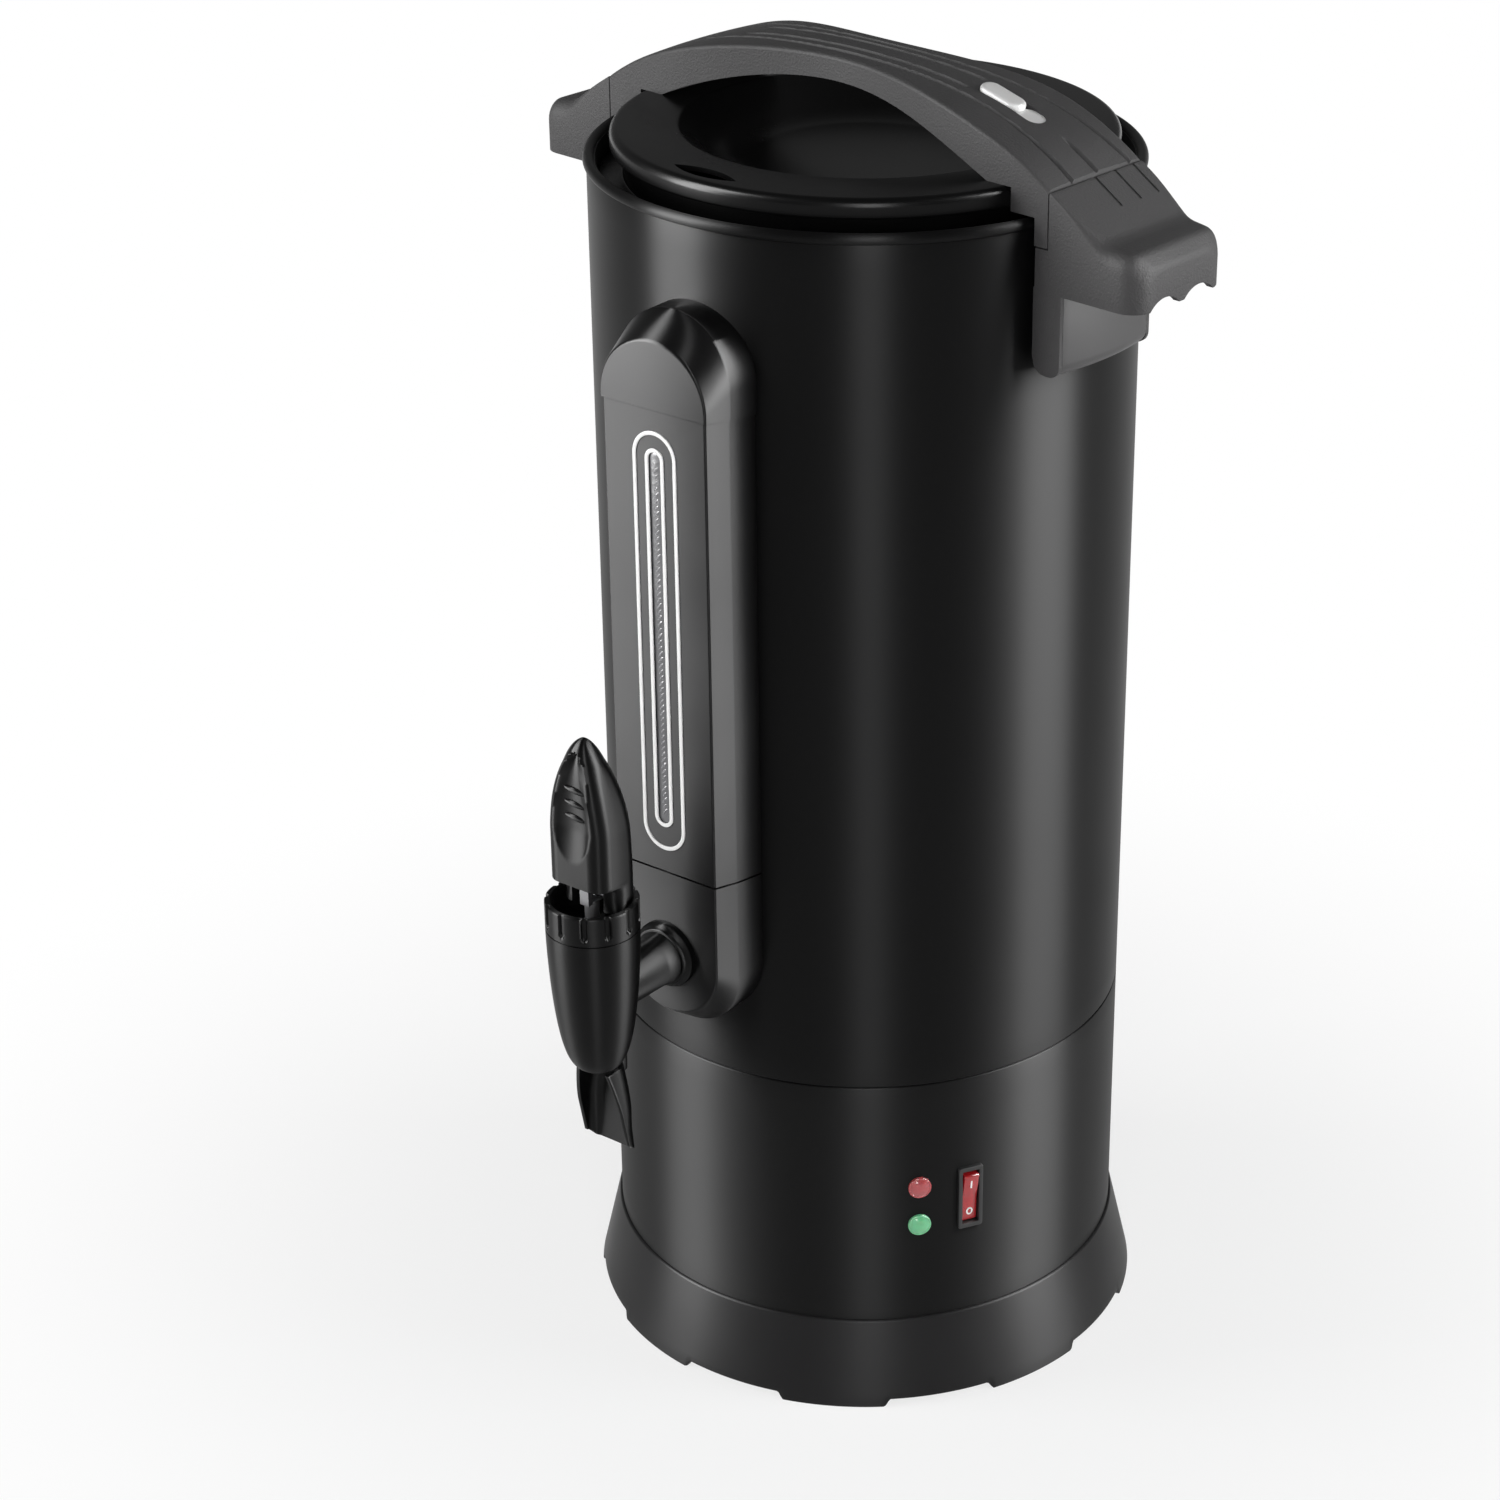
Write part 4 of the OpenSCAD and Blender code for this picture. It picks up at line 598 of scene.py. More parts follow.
gauge_grey = finish("gauge grey", (0.0035, 0.0034, 0.0036), 0.38, 2200, 0.004, drift=10, tone=0.1,
                    drawn=0.93, Specular_IOR_Level=0.16)
lower_cap = gauge_moulding("gauge_lower_cap", lower_path, 0)
shear_cut(lower_cap, cut_low - lower_gap, cut_fall)
dress(lower_cap, gauge_grey, "root", "gauge_plastic", "gauge_bottom_cap")
upper_cap = gauge_moulding("gauge_upper_cap", upper_path, cap_over)
shear_cut(upper_cap, cut_high + upper_gap, cut_fall)
dress(upper_cap, gauge_grey, "root", "gauge_plastic", "gauge_top_cap")


def stadium(half, low, high, arc_steps=24):
    """Points of an upright slot with round ends."""
    upper = [math.radians(180 * i / arc_steps) for i in range(arc_steps + 1)]
    return ([Vector((half * math.cos(a), high - half + half * math.sin(a))) for a in upper]
            + [Vector((-half * math.cos(a), low + half - half * math.sin(a))) for a in upper])


panel_section = gauge_section(0)
panel_rows = [(-1, side, depth) for side, end, depth in panel_section]
panel_rows += [(1, side, depth) for side, end, depth in panel_section[::-1]]
panel_outline = []
for sign, inset, depth in panel_rows:
    half = gauge_half - inset
    panel_outline.append(Vector((sign * half, shell_front(half) if depth is None else depth)))
panel = slab("gauge_front", panel_outline, cut_low, cut_high, "z")
window_low, window_high = node_box("tube_trim")
trim_line = 1.6
window_half = window_high.x - trim_line
gauge_wall = 2.2
plate_low, plate_high = node_box("scale_plate")
plate_gap = 1
behind_plan = rectangle(plate_low.x - plate_gap, plate_high.x + plate_gap,
                        plate_low.z - plate_gap, plate_high.z + plate_gap)
behind = slab("gauge_hollow", fillet(behind_plan), face_y + gauge_wall, plate_high.y + plate_gap, "y")
combine(panel, behind, "DIFFERENCE", gauge_crease)
window_cut = slab("window_cut", stadium(window_half, window_low.z + trim_line, window_high.z - trim_line),
                  face_y - 5, face_y + gauge_wall + 1, "y")
combine(panel, window_cut, "DIFFERENCE", gauge_crease)
shear_cut(panel, cut_low, cut_fall)
shear_cut(panel, cut_high, cut_fall)
dress(panel, gauge_grey, "root", "gauge_plastic", "gauge_panel")


# Window trims and sight tube
# Two thin white rings are inlaid round the window, which a frosted pane with slanted ribs closes.
# Behind it a clear tube stands in front of a grey scale plate.
trim_white = finish("trim white", (0.74, 0.74, 0.735), 0.45, 1600, 0.006, tone=0.04)
trim_sink = 0.3
for trim in ("window_trim", "tube_trim"):
    low, high = node_box(trim)
    loop = frame_of(trim + "_inlay", stadium(high.x, low.z, high.z),
                    stadium(high.x - trim_line, low.z + trim_line, high.z - trim_line),
                    low.y, face_y + trim_sink)
    soften(loop, 0.15, segments=2)
    dress(loop, trim_white, "root", "trim_white", trim)


def geometry_tree(name, inputs):
    """A new geometry tree with a geometry input, more inputs of the named kinds, and a geometry output."""
    tree = bpy.data.node_groups.new(name, "GeometryNodeTree")
    for socket, kind in {"Geometry": "Geometry", **inputs}.items():
        tree.interface.new_socket(socket, in_out="INPUT", socket_type="NodeSocket" + kind)
    tree.interface.new_socket("Geometry", in_out="OUTPUT", socket_type="NodeSocketGeometry")
    return tree


def row_tree():
    """Copies of a shape along an upright line, each scaled a little by its own draw."""
    tree = geometry_tree("row along a line", {"Count": "Int", "Step": "Vector", "Least size": "Float",
                                              "Seed": "Int", "Material": "Material"})
    add, link = tree.nodes.new, tree.links.new
    entry, leave = add("NodeGroupInput"), add("NodeGroupOutput")
    line, copies = add("GeometryNodeMeshLine"), add("GeometryNodeInstanceOnPoints")
    draw, whole = add("FunctionNodeRandomValue"), add("GeometryNodeRealizeInstances")
    paint = add("GeometryNodeSetMaterial")
    link(entry.outputs["Count"], line.inputs["Count"])
    link(entry.outputs["Step"], line.inputs["Offset"])
    link(entry.outputs["Least size"], draw.inputs[2])
    draw.inputs[3].default_value = 1
    link(entry.outputs["Seed"], draw.inputs["Seed"])
    link(line.outputs["Mesh"], copies.inputs["Points"])
    link(entry.outputs["Geometry"], copies.inputs["Instance"])
    link(draw.outputs[1], copies.inputs["Scale"])
    link(copies.outputs["Instances"], whole.inputs["Geometry"])
    link(whole.outputs["Geometry"], paint.inputs["Geometry"])
    link(entry.outputs["Material"], paint.inputs["Material"])
    link(paint.outputs["Geometry"], leave.inputs["Geometry"])
    return tree


def grow(piece, tree, **inputs):
    """Runs a geometry tree on a piece, with its inputs set by name, and keeps the result as a plain mesh."""
    step = piece.modifiers.new(tree.name, "NODES")
    step.node_group = tree
    for item in tree.interface.items_tree:
        key = item.name.replace(" ", "_")
        if item.in_out == "INPUT" and key in inputs:
            step[item.identifier] = inputs[key]
    apply_modifiers(piece)
    return piece


def moved(piece, x, y, z):
    """Moves a piece by millimetres."""
    piece.data.transform(Matrix.Translation((x * MM, y * MM, z * MM)))
    return piece


tube_low, tube_high = node_box("sight_tube")
tube_y = (tube_low.y + tube_high.y) / 2
tube_r = tube_high.x
tube_in = tube_r - 0.8
tube_edge = 0.2
clear = bpy.data.materials.new("clear tube")
clear.use_nodes = True
clear_shader = clear.node_tree.nodes["Principled BSDF"]
clear_shader.inputs["Base Color"].default_value = (0.93, 0.95, 0.96, 1)
clear_shader.inputs["Roughness"].default_value = 0.06
clear_shader.inputs["IOR"].default_value = 1.45
clear_shader.inputs["Transmission Weight"].default_value = 1
film = clear.node_tree.nodes.new("ShaderNodeGroup")
film.node_tree = moulded_grain
film.inputs["Grain scale"].default_value = 900
film.inputs["Drift scale"].default_value = 60
ripple = clear.node_tree.nodes.new("ShaderNodeBump")
ripple.inputs["Distance"].default_value = 0.02 * MM
clear.node_tree.links.new(film.outputs["Tone"], ripple.inputs["Height"])
clear.node_tree.links.new(ripple.outputs["Normal"], clear_shader.inputs["Normal"])
tube_outline = fillet([(tube_in, tube_low.z, 0), (tube_r, tube_low.z, tube_edge),
                       (tube_r, tube_high.z, tube_edge), (tube_in, tube_high.z, 0)], 2)
tube = moved(spun("clear_tube", tube_outline, steps=48), 0, tube_y, 0)
dress(tube, clear, "root", "tube_glass", "sight_tube")

pane_low, pane_high = node_box("window_pane")
pane_grey = finish("pane frost", (0.10, 0.10, 0.105), 0.34, 420, 0.12, drift=45, tone=0.3, Coat_Weight=0.3)
pane = slab("window_glass", stadium(pane_high.x, pane_low.z, pane_high.z), pane_low.y, pane_high.y, "y")
dress(soften(pane, 0.2, segments=2), pane_grey, "root", "tube_glass", "window_pane")
rib_pitch = 2.6
rib_lean = math.radians(52)
rib_half, rib_thick, rib_proud, rib_sink = 2.3, 0.55, 0.3, 0.1
rib_taper = 0.55
rib_sides = 12
rib_ends, rib_start = 8, 5
rib_count = int((pane_high.z - pane_low.z - rib_ends) / rib_pitch)
rib_rings = []
for y, share in ((rib_sink, 1.0), (-rib_proud, rib_taper)):
    ring = []
    for i in range(rib_sides):
        a = math.radians(360 / rib_sides * i)
        along, across = rib_half * share * math.cos(a), rib_thick * share * math.sin(a)
        ring.append((along * math.cos(rib_lean) - across * math.sin(rib_lean), y,
                     along * math.sin(rib_lean) + across * math.cos(rib_lean)))
    rib_rings.append(ring)
rib_pale = finish("rib frost", (0.24, 0.24, 0.25), 0.3, 500, 0.05, drift=60, tone=0.35, Coat_Weight=0.3)
ribs = skin("window_ribs", rib_rings)
grow(ribs, row_tree(), Count=rib_count, Step=(0, 0, rib_pitch * MM), Least_size=0.6, Seed=4,
     Material=rib_pale)
moved(tidy(ribs), 0, pane_low.y, pane_low.z + rib_start)
dress(ribs, rib_pale, "root", "tube_glass")
scale_grey = finish("scale grey", (0.16, 0.16, 0.165), 0.5, 1200, 0.01)


# Tap body, collar and bonnet
# The tap is a glossy black plastic barrel on a round shank, held against the housing by a collar and
# a nut inside the tank. A grooved bonnet screws on top and carries the lever on two lugs.
tap_gloss = finish("tap gloss", (0.0025, 0.0025, 0.0026), 0.38, 1400, 0.003, drift=14, tone=0.08,
                   drawn=0.93, Specular_IOR_Level=0.11)
bonnet_low, bonnet_high = node_box("tap_bonnet")
tap_y = (bonnet_low.y + bonnet_high.y) / 2
tap_r = bonnet_high.x
body_low, body_high = node_box("tap_body")
tap_top, tap_low = body_high.z, body_low.z
collar_low, collar_high = node_box("shank_collar")
shank_z = (collar_low.z + collar_high.z) / 2
shank_r = 10.8
spout_r, spout_bore, spout_edge, bore_deep = 6.4, 5.2, 0.2, 3.2
seat_top = node_box("seat_cup")[1].z + 0.4
seat_r, guide_r, guide_t, chamber_r = 8.9, 6, 4, 11
lip_step = 1.1
barrel_top = tap_top - 0.15
tap_curve = 1.5
tap_blunt = 0.235
tap_end = (1 - ((spout_r + lip_step) / tap_r) ** (1 / tap_blunt)) ** (1 / tap_curve)
barrel_steps = 40
barrel = []
for i in range(barrel_steps + 1):
    t = tap_end * (1 - (1 - i / barrel_steps) ** 2)
    fall = (barrel_top - tap_low - lip_step) * t / tap_end
    barrel.append(Vector((tap_r * (1 - t ** tap_curve) ** tap_blunt, barrel_top - fall)))
barrel += [Vector(p) for p in ((spout_r, tap_low + lip_step), (spout_r, tap_low + spout_edge),
                               (spout_r - spout_edge, tap_low), (spout_bore, tap_low),
                               (spout_bore, tap_low + bore_deep), (seat_r, tap_low + bore_deep),
                               (seat_r, seat_top), (guide_r, seat_top), (guide_r, seat_top + guide_t),
                               (chamber_r, seat_top + guide_t), (chamber_r, barrel_top))]
tap_barrel = moved(spun("tap_barrel", barrel, steps=144), 0, tap_y, 0)
rear_half, rear_top = 5.2, 202.9
rear_plan = rectangle(-rear_half, rear_half, tap_low - 3, rear_top)
combine(tap_barrel, slab("paddle_slot", fillet(rear_plan), tap_y + 5, tap_y + 30, "y"), "DIFFERENCE")
dress(tap_barrel, tap_gloss, "root", "tap_gloss", "tap_body")


def along_shank(piece):
    """Lays a piece that was turned about the vertical axis along the shank, from the face outwards."""
    piece.data.transform(Matrix.Translation(Vector((0, face_y, shank_z)) * MM)
                         @ Matrix.Rotation(math.radians(90), 4, "X"))
    return piece


neck_bore, thread_r, thread_in = 6, 9, 34
neck_flare, flare_end, flare_round = 1.4, 12, 20
neck_out = face_y - tap_y - 13
neck_outline = fillet([(neck_bore, -thread_in, 0), (thread_r, -thread_in, 0.8), (thread_r, 0, 0),
                       (shank_r + neck_flare, 0, 0), (shank_r, flare_end, flare_round),
                       (shank_r - 0.4, neck_out, 0), (neck_bore, neck_out, 0)], 8)
neck = spun("tap_neck", neck_outline, steps=96)
dress(along_shank(neck), tap_gloss, "root", "tap_gloss")
collar_t = face_y - collar_low.y
collar_r = collar_high.x
collar_in = shank_r - 0.5
collar_outline = fillet([(collar_in, 0, 0), (collar_r, 0, 0.3), (collar_r, collar_t * 0.45, 1.2),
                         (collar_r - 1.6, collar_t * 0.8, 1), (collar_r - 1.9, collar_t, 0.6),
                         (collar_in, collar_t, 0)], 6)
collar = spun("neck_collar", collar_outline, steps=96)
dress(along_shank(collar), tap_gloss, "root", "tap_gloss", "shank_collar")


def ring_tree():
    """Copies of a segment round the vertical axis, merged into one ring."""
    tree = geometry_tree("ring of segments", {"Count": "Int", "Merge distance": "Float",
                                              "Material": "Material"})
    add, link = tree.nodes.new, tree.links.new
    entry, leave = add("NodeGroupInput"), add("NodeGroupOutput")
    line, copies = add("GeometryNodeMeshLine"), add("GeometryNodeInstanceOnPoints")
    index = add("GeometryNodeInputIndex")
    share, turn, spin = add("ShaderNodeMath"), add("ShaderNodeMath"), add("ShaderNodeCombineXYZ")
    whole, weld, paint = (add("GeometryNodeRealizeInstances"), add("GeometryNodeMergeByDistance"),
                          add("GeometryNodeSetMaterial"))
    line.inputs["Offset"].default_value = (0, 0, 0)
    share.operation = "DIVIDE"
    turn.operation = "MULTIPLY"
    turn.inputs[1].default_value = math.tau
    link(entry.outputs["Count"], line.inputs["Count"])
    link(index.outputs["Index"], share.inputs[0])
    link(entry.outputs["Count"], share.inputs[1])
    link(share.outputs["Value"], turn.inputs[0])
    link(turn.outputs["Value"], spin.inputs["Z"])
    link(line.outputs["Mesh"], copies.inputs["Points"])
    link(entry.outputs["Geometry"], copies.inputs["Instance"])
    link(spin.outputs["Vector"], copies.inputs["Rotation"])
    link(copies.outputs["Instances"], whole.inputs["Geometry"])
    link(whole.outputs["Geometry"], weld.inputs["Geometry"])
    link(entry.outputs["Merge distance"], weld.inputs["Distance"])
    link(weld.outputs["Geometry"], paint.inputs["Geometry"])
    link(entry.outputs["Material"], paint.inputs["Material"])
    link(paint.outputs["Geometry"], leave.inputs["Geometry"])
    return tree


groove_count = 12
groove_half, groove_deep, groove_soft = 1.25, 1.2, 0.45
groove_foot = tap_top + 3.9
rim_top = tap_top + 12.7
rim_in = tap_r - 2.7
bonnet_floor = tap_top + 2
stem_hole = 3.1
bonnet_crease = 40
bonnet_steps = 22
bonnet_rows = [Vector((tap_r, tap_top + 0.5 + (rim_top - tap_top - 1.1) * i / bonnet_steps))
               for i in range(bonnet_steps + 1)]
bonnet_outline = [Vector((tap_r - 0.45, tap_top))] + bonnet_rows
bonnet_outline += [Vector(p) for p in ((tap_r - 0.2, rim_top - 0.15), (tap_r - 0.6, rim_top),
                                       (rim_in + 0.5, rim_top), (rim_in, rim_top - 0.5),
                                       (rim_in, bonnet_floor), (stem_hole, bonnet_floor),
                                       (stem_hole, tap_top))]
segment_cols = 24
bonnet_rings = []
for i in range(segment_cols + 1):
    angle = math.radians((i / segment_cols - 0.5) * 360 / groove_count)
    across = abs(tap_r * math.sin(angle))
    ring = []
    for r, z in bonnet_outline:
        inside = groove_half - (across if z > groove_foot else math.hypot(across, z - groove_foot))
        dip = groove_deep * min(max(inside / groove_soft + 0.4, 0), 1) if r > tap_r - 1 else 0
        ring.append(((r - dip) * math.sin(angle), -(r - dip) * math.cos(angle), z))
    bonnet_rings.append(ring)
bonnet = skin("bonnet_sleeve", bonnet_rings, ends="open")
grow(bonnet, ring_tree(), Count=groove_count, Merge_distance=0.01 * MM, Material=tap_gloss)
moved(tidy(bonnet, bonnet_crease), 0, tap_y, 0)
dress(bonnet, tap_gloss, "root", "tap_gloss", "tap_bonnet")
pivot_y, pivot_z = (value / MM for value in joint_of("lever_pull")["pos_m"][1:])
lug_half, lug_round, lug_foot = 3.9, 3.8, tap_top + 1
lug_in, lug_out = 3.5, 7.6
lug_outline = fillet([(pivot_y - lug_half, lug_foot, 0), (pivot_y + lug_half, lug_foot, 0),
                      (pivot_y + lug_half, pivot_z + lug_half, lug_round),
                      (pivot_y - lug_half, pivot_z + lug_half, lug_round)], 8)
for side, name in ((-1, "bonnet_lug_left"), (1, "bonnet_lug_right")):
    lug = slab(name, lug_outline, *sorted((side * lug_in, side * lug_out)), "x")
    dress(soften(lug, 0.3, segments=2), tap_gloss, "root", "tap_gloss")


# Lever
# A bullet-shaped lever of the same gloss plastic, with a teardrop scoop and three slanted ridges for
# the finger. It turns on a pin in the bonnet's lugs and its foot is open below for the stem.
lever_low, lever_high = node_box("tap_lever")
lever_half = lever_high.x
lever_front, lever_back = lever_low.y, lever_high.y
lever_round = lever_low.z + 0.464 * (lever_high.z - lever_low.z)
lever_corner = 6.8
lever_crease = 40
lean_z = lever_high.z - 30
bend_z = lever_low.z + 14
tip_lean = 9.5
foot_z = lever_low.z + 12.4
foot_front = tap_y - 2.5
foot_blend = 1.2
heel_in, heel_up = 3, 7
pull_most, pull_steps = 28, 14
rim_clear = 0.4
scoop_low, scoop_high = lever_low.z + 23, lever_high.z - 4.5
scoop_half, scoop_share, scoop_deep = 9.8, 0.66, 2.1


def lever_slice(z):
    """Half width, front and back of the lever at a height."""
    rise = max((z - lever_round) / (lever_high.z - lever_round), 0)
    half = lever_half * (1 - min(rise, 1) ** 1.6) ** 0.58
    lean = max((z - lean_z) / (lever_high.z - lean_z), 0)
    front = lever_front + tip_lean * (1 - math.sqrt(max(1 - lean ** 2.4, 0)))
    front += (foot_front - front) * min(max((foot_z - z) / foot_blend, 0), 1)
    swing = max((z - bend_z) / (lever_high.z - bend_z), 0)
    back = lever_front + tip_lean + (lever_back - lever_front - tip_lean) * (1 - swing ** 2.3) ** 0.62
    back -= heel_in * (1 - min((z - lever_low.z) / heel_up, 1)) ** 2
    return half, front, max(back, front + 0.05)


def lever_room(y, z):
    """Half the width that the lever may have at a point, to clear the bonnet's rim as it is pulled."""
    room = lever_half
    ahead, above = y - pivot_y, z - pivot_z
    for step in range(pull_steps + 1):
        angle = math.radians(pull_most * step / pull_steps)
        pulled_y = pivot_y + ahead * math.cos(angle) - above * math.sin(angle)
        pulled_z = pivot_z + ahead * math.sin(angle) + above * math.cos(angle)
        if pulled_z < rim_top + rim_clear:
            room = min(room, math.sqrt(max((rim_in - rim_clear) ** 2 - (pulled_y - tap_y) ** 2, 0)))
    return room


def lever_ring(half, front, back):
    """One slice of the lever: a rectangle with round corners, from its left front corner on."""
    radius = min(lever_corner, 0.85 * half, 0.46 * (back - front))
    ring = [((half - radius) * (i / 20 - 1), front) for i in range(41)]
    corners = ((1, front + radius, -90), (1, back - radius, 0),
               (-1, back - radius, 90), (-1, front + radius, 180))
    for side, y, start in corners:
        for step in range(1 if start == -90 else 0, 8 if start == 180 else 9):
            angle = math.radians(start + 90 * step / 8)
            ring.append((side * (half - radius) + radius * math.cos(angle), y + radius * math.sin(angle)))
    return ring


def scoop_depth(x, z):
    """Depth of the teardrop finger scoop below the lever's front."""
    share = (z - scoop_low) / (scoop_high - scoop_low)
    if not 0 < share < 1:
        return 0
    half = min(scoop_half * math.sin(math.pi * share ** 0.8) ** 0.62, scoop_share * lever_slice(z)[0])
    edge = 1 - (x / max(half, 0.01)) ** 2
    return scoop_deep * max(edge, 0) ** 0.7 * min(share / 0.3, 1)


slice_count = 96
lever_rings = []
for i in range(slice_count + 1):
    share = i / slice_count
    z = lever_low.z + (lever_high.z - lever_low.z) * (1 - (1 - share) ** 1.5)
    half, front, back = lever_slice(min(z, lever_high.z - 0.02))
    ring = []
    for x, y in lever_ring(half, front, back):
        y += scoop_depth(x, z) if y < (front + back) / 2 else 0
        room = lever_room(y, z)
        ring.append((min(max(x, -room), room), y, z))
    lever_rings.append(ring)
lever = skin("lever_handle", lever_rings, lever_crease)
pocket_half = 8.2
pocket_plan = rectangle(-pocket_half, pocket_half, lever_low.z - 5, pivot_z + 14)
pocket = slab("lever_pocket", fillet(pocket_plan), lever_front + 2.6, lever_back + 10, "y")
combine(lever, pocket, "DIFFERENCE", lever_crease)
dress(lever, tap_gloss, "lever", "tap_gloss", "tap_lever")

ridge_steps, ridge_sides = 16, 10
ridge_half, ridge_proud, ridge_thick, ridge_slant = 6.0, 1.3, 1.25, 0.7
ridge_count, ridge_pitch, ridge_back = 3, 5.8, 0.2
ridge_turns = [math.tau * j / ridge_sides for j in range(ridge_sides)]
ridge_rings = []
for i in range(ridge_steps + 1):
    share = i / ridge_steps * 2 - 1
    swell = math.sqrt(max(1 - share ** 2, 0.0004))
    ridge_rings.append([(ridge_half * share, -ridge_proud * swell * math.cos(a),
                         ridge_thick * swell * math.sin(a) - ridge_slant * share) for a in ridge_turns])
ridges = skin("finger_ridges", ridge_rings)
grow(ridges, row_tree(), Count=ridge_count, Step=(0, ridge_back * MM, ridge_pitch * MM), Least_size=0.92,
     Seed=2, Material=tap_gloss)
moved(tidy(ridges), 1.2, lever_front + 1.6, lever_low.z + 43)
dress(ridges, tap_gloss, "lever", "tap_gloss")


# Cup paddle
# A thin trough of gloss plastic behind the spout, whose wings grow deeper upwards. A cup pushes it
# back: its stalk turns on a pin in the tap's rear slot, and two tines reach the stem.
paddle_low, paddle_high = node_box("cup_paddle")
paddle_half = paddle_high.x
paddle_swell = paddle_low.z + 20
paddle_wall = 1.7
trough_top = tap_low - 0.4
trough_back = tap_y + 10.2
top_narrow = 0.3
wing_least, wing_more = 5.6, 8.4
plan_corner = 7
foot_round = 4


def trough_plan(z, inset):
    """The trough from above at a height, as (x, y) from its left front edge round the back to the right."""
    rise = max((z - paddle_swell) / (trough_top - paddle_swell), 0)
    half = paddle_half * (1 - top_narrow * rise ** 1.5) - inset
    share = min(max((z - paddle_low.z) / (trough_top - paddle_low.z), 0), 1)
    deep = wing_least + wing_more * share
    radius = min(plan_corner, 0.9 * deep) - inset
    back = trough_back - inset
    arc = [math.radians(90 * i / 12) for i in range(13)]
    edge = [(-half, trough_back - deep + (deep - inset - radius) * i / 6) for i in range(6)]
    bend = [(-half + radius * (1 - math.cos(a)), back - radius * (1 - math.sin(a))) for a in arc]
    middle = [((radius - half) * (1 - i / 5), back) for i in range(1, 6)]
    run = edge + bend + middle
    return run + [(-x, y) for x, y in run[-2::-1]]


trough_rows = 40
plan_count = len(trough_plan(paddle_swell, 0))
paddle_points, paddle_faces = [], []
for inset in (0, paddle_wall):
    for column, (x, y) in enumerate(trough_plan(paddle_swell, 0)):
        short = max(abs(x) - paddle_half + foot_round, 0)
        low = paddle_low.z + foot_round - math.sqrt(max(foot_round ** 2 - short ** 2, 0))
        for row in range(trough_rows + 1):
            z = low + (trough_top - low) * row / trough_rows
            paddle_points.append((*trough_plan(z, inset)[column], z))
columns = trough_rows + 1
second = plan_count * columns
for i in range(plan_count - 1):
    for row in range(trough_rows):
        a, b = i * columns + row, (i + 1) * columns + row
        paddle_faces += [(a, b, b + 1, a + 1), (second + a, second + b, second + b + 1, second + a + 1)]
    a, b = i * columns, (i + 1) * columns
    paddle_faces += [(a, b, second + b, second + a),
                     (a + trough_rows, b + trough_rows, second + b + trough_rows, second + a + trough_rows)]
for a in (0, (plan_count - 1) * columns):
    for row in range(trough_rows):
        paddle_faces.append((a + row, a + row + 1, second + a + row + 1, second + a + row))
paddle = add_piece("paddle_trough", paddle_points, paddle_faces)
soften(paddle, 0.5, limit=50, segments=2)
dress(paddle, tap_gloss, "paddle", "tap_gloss", "cup_paddle")
hinge_y, hinge_z = (value / MM for value in joint_of("paddle_push")["pos_m"][1:])
hub_r = 2.6
hub_round = 0.95 * hub_r
neck_half = 4.6
stalk_front, stalk_low = trough_back - paddle_wall, tap_low - 6
stalk_outline = fillet([(stalk_front, stalk_low, 0), (hinge_y + 2.2, stalk_low, 1),
                        (hinge_y + hub_r, hinge_z + hub_r, hub_round),
                        (hinge_y - hub_r, hinge_z + hub_r, hub_round),
                        (hinge_y - hub_r, hinge_z - 1, 0.5), (stalk_front, tap_low + 1, 0)], 8)
stalk = slab("paddle_stalk", stalk_outline, -neck_half, neck_half, "x")
dress(soften(stalk, 0.3, segments=2), tap_gloss, "paddle", "tap_gloss")
tine_in, tine_out, tine_half, tine_round = 2.6, 4.5, 1.5, 0.8
tine_plan = rectangle(tap_y - 2, hinge_y, hinge_z - tine_half, hinge_z + tine_half, tine_round)
for side, name in ((-1, "paddle_tine_left"), (1, "paddle_tine_right")):
    tine = slab(name, fillet(tine_plan), *sorted((side * tine_in, side * tine_out)), "x")
    dress(tine, tap_gloss, "paddle", "tap_gloss")


# Lid
# A polished black moulding with a dish in its top and a lens-shaped steam vent at the front. It sits
# in the mouth on its seal and carries a steel liner below.
lid_gloss = finish("lid gloss", (0.0022, 0.0022, 0.0023), 0.26, 1200, 0.003, drift=12, tone=0.06,
                   rough_swing=0.03, Specular_IOR_Level=0.1)
lock_joint = joint_of("lock_slide")
top_turn = math.atan2(lock_joint["axis"][1], lock_joint["axis"][0])


def top_set(piece):
    """Turns a piece of the lid or the handles with the whole top set."""
    piece.data.transform(Matrix.Rotation(top_turn, 4, "Z"))
    return piece


lid_low, lid_high = node_box("lid_shell")
lid_top = lid_high.z
lid_r = shell_r - 9.5
lid_edge = shell_high.z + 6.5
lid_wall = 2
lid_round = 3.4
dish_floor = lid_top - 14.5
dish_r, dish_rim, dish_round = 52, 75, 26
skirt_r, skirt_in = 97, 95
flange_r, flange_low = 107.5, lid_low.z
lid_outline = fillet([(0, dish_floor, 0), (dish_r, dish_floor, dish_round), (dish_rim, lid_top, lid_round),
                      (lid_r, lid_top, lid_round), (lid_r, lid_edge, 1), (skirt_r, lid_edge, 0.8),
                      (skirt_r, flange_low + lid_wall, 0.8), (flange_r, flange_low + lid_wall, 0.6),
                      (flange_r, flange_low, 0.4), (skirt_in, flange_low, 0.4),
                      (skirt_in, lid_edge + lid_wall, 0.5), (lid_r - lid_wall, lid_edge + lid_wall, 0.5),
                      (lid_r - lid_wall, lid_top - lid_wall, 1.5), (dish_rim + 1, lid_top - lid_wall, 2),
                      (dish_r + 0.6, dish_floor - lid_wall, dish_round - lid_wall),
                      (0, dish_floor - lid_wall, 0)], 10)
lid = spun("lid_top", lid_outline, steps=240)
vent_l, vent_w, vent_deep = 33, 9, 4
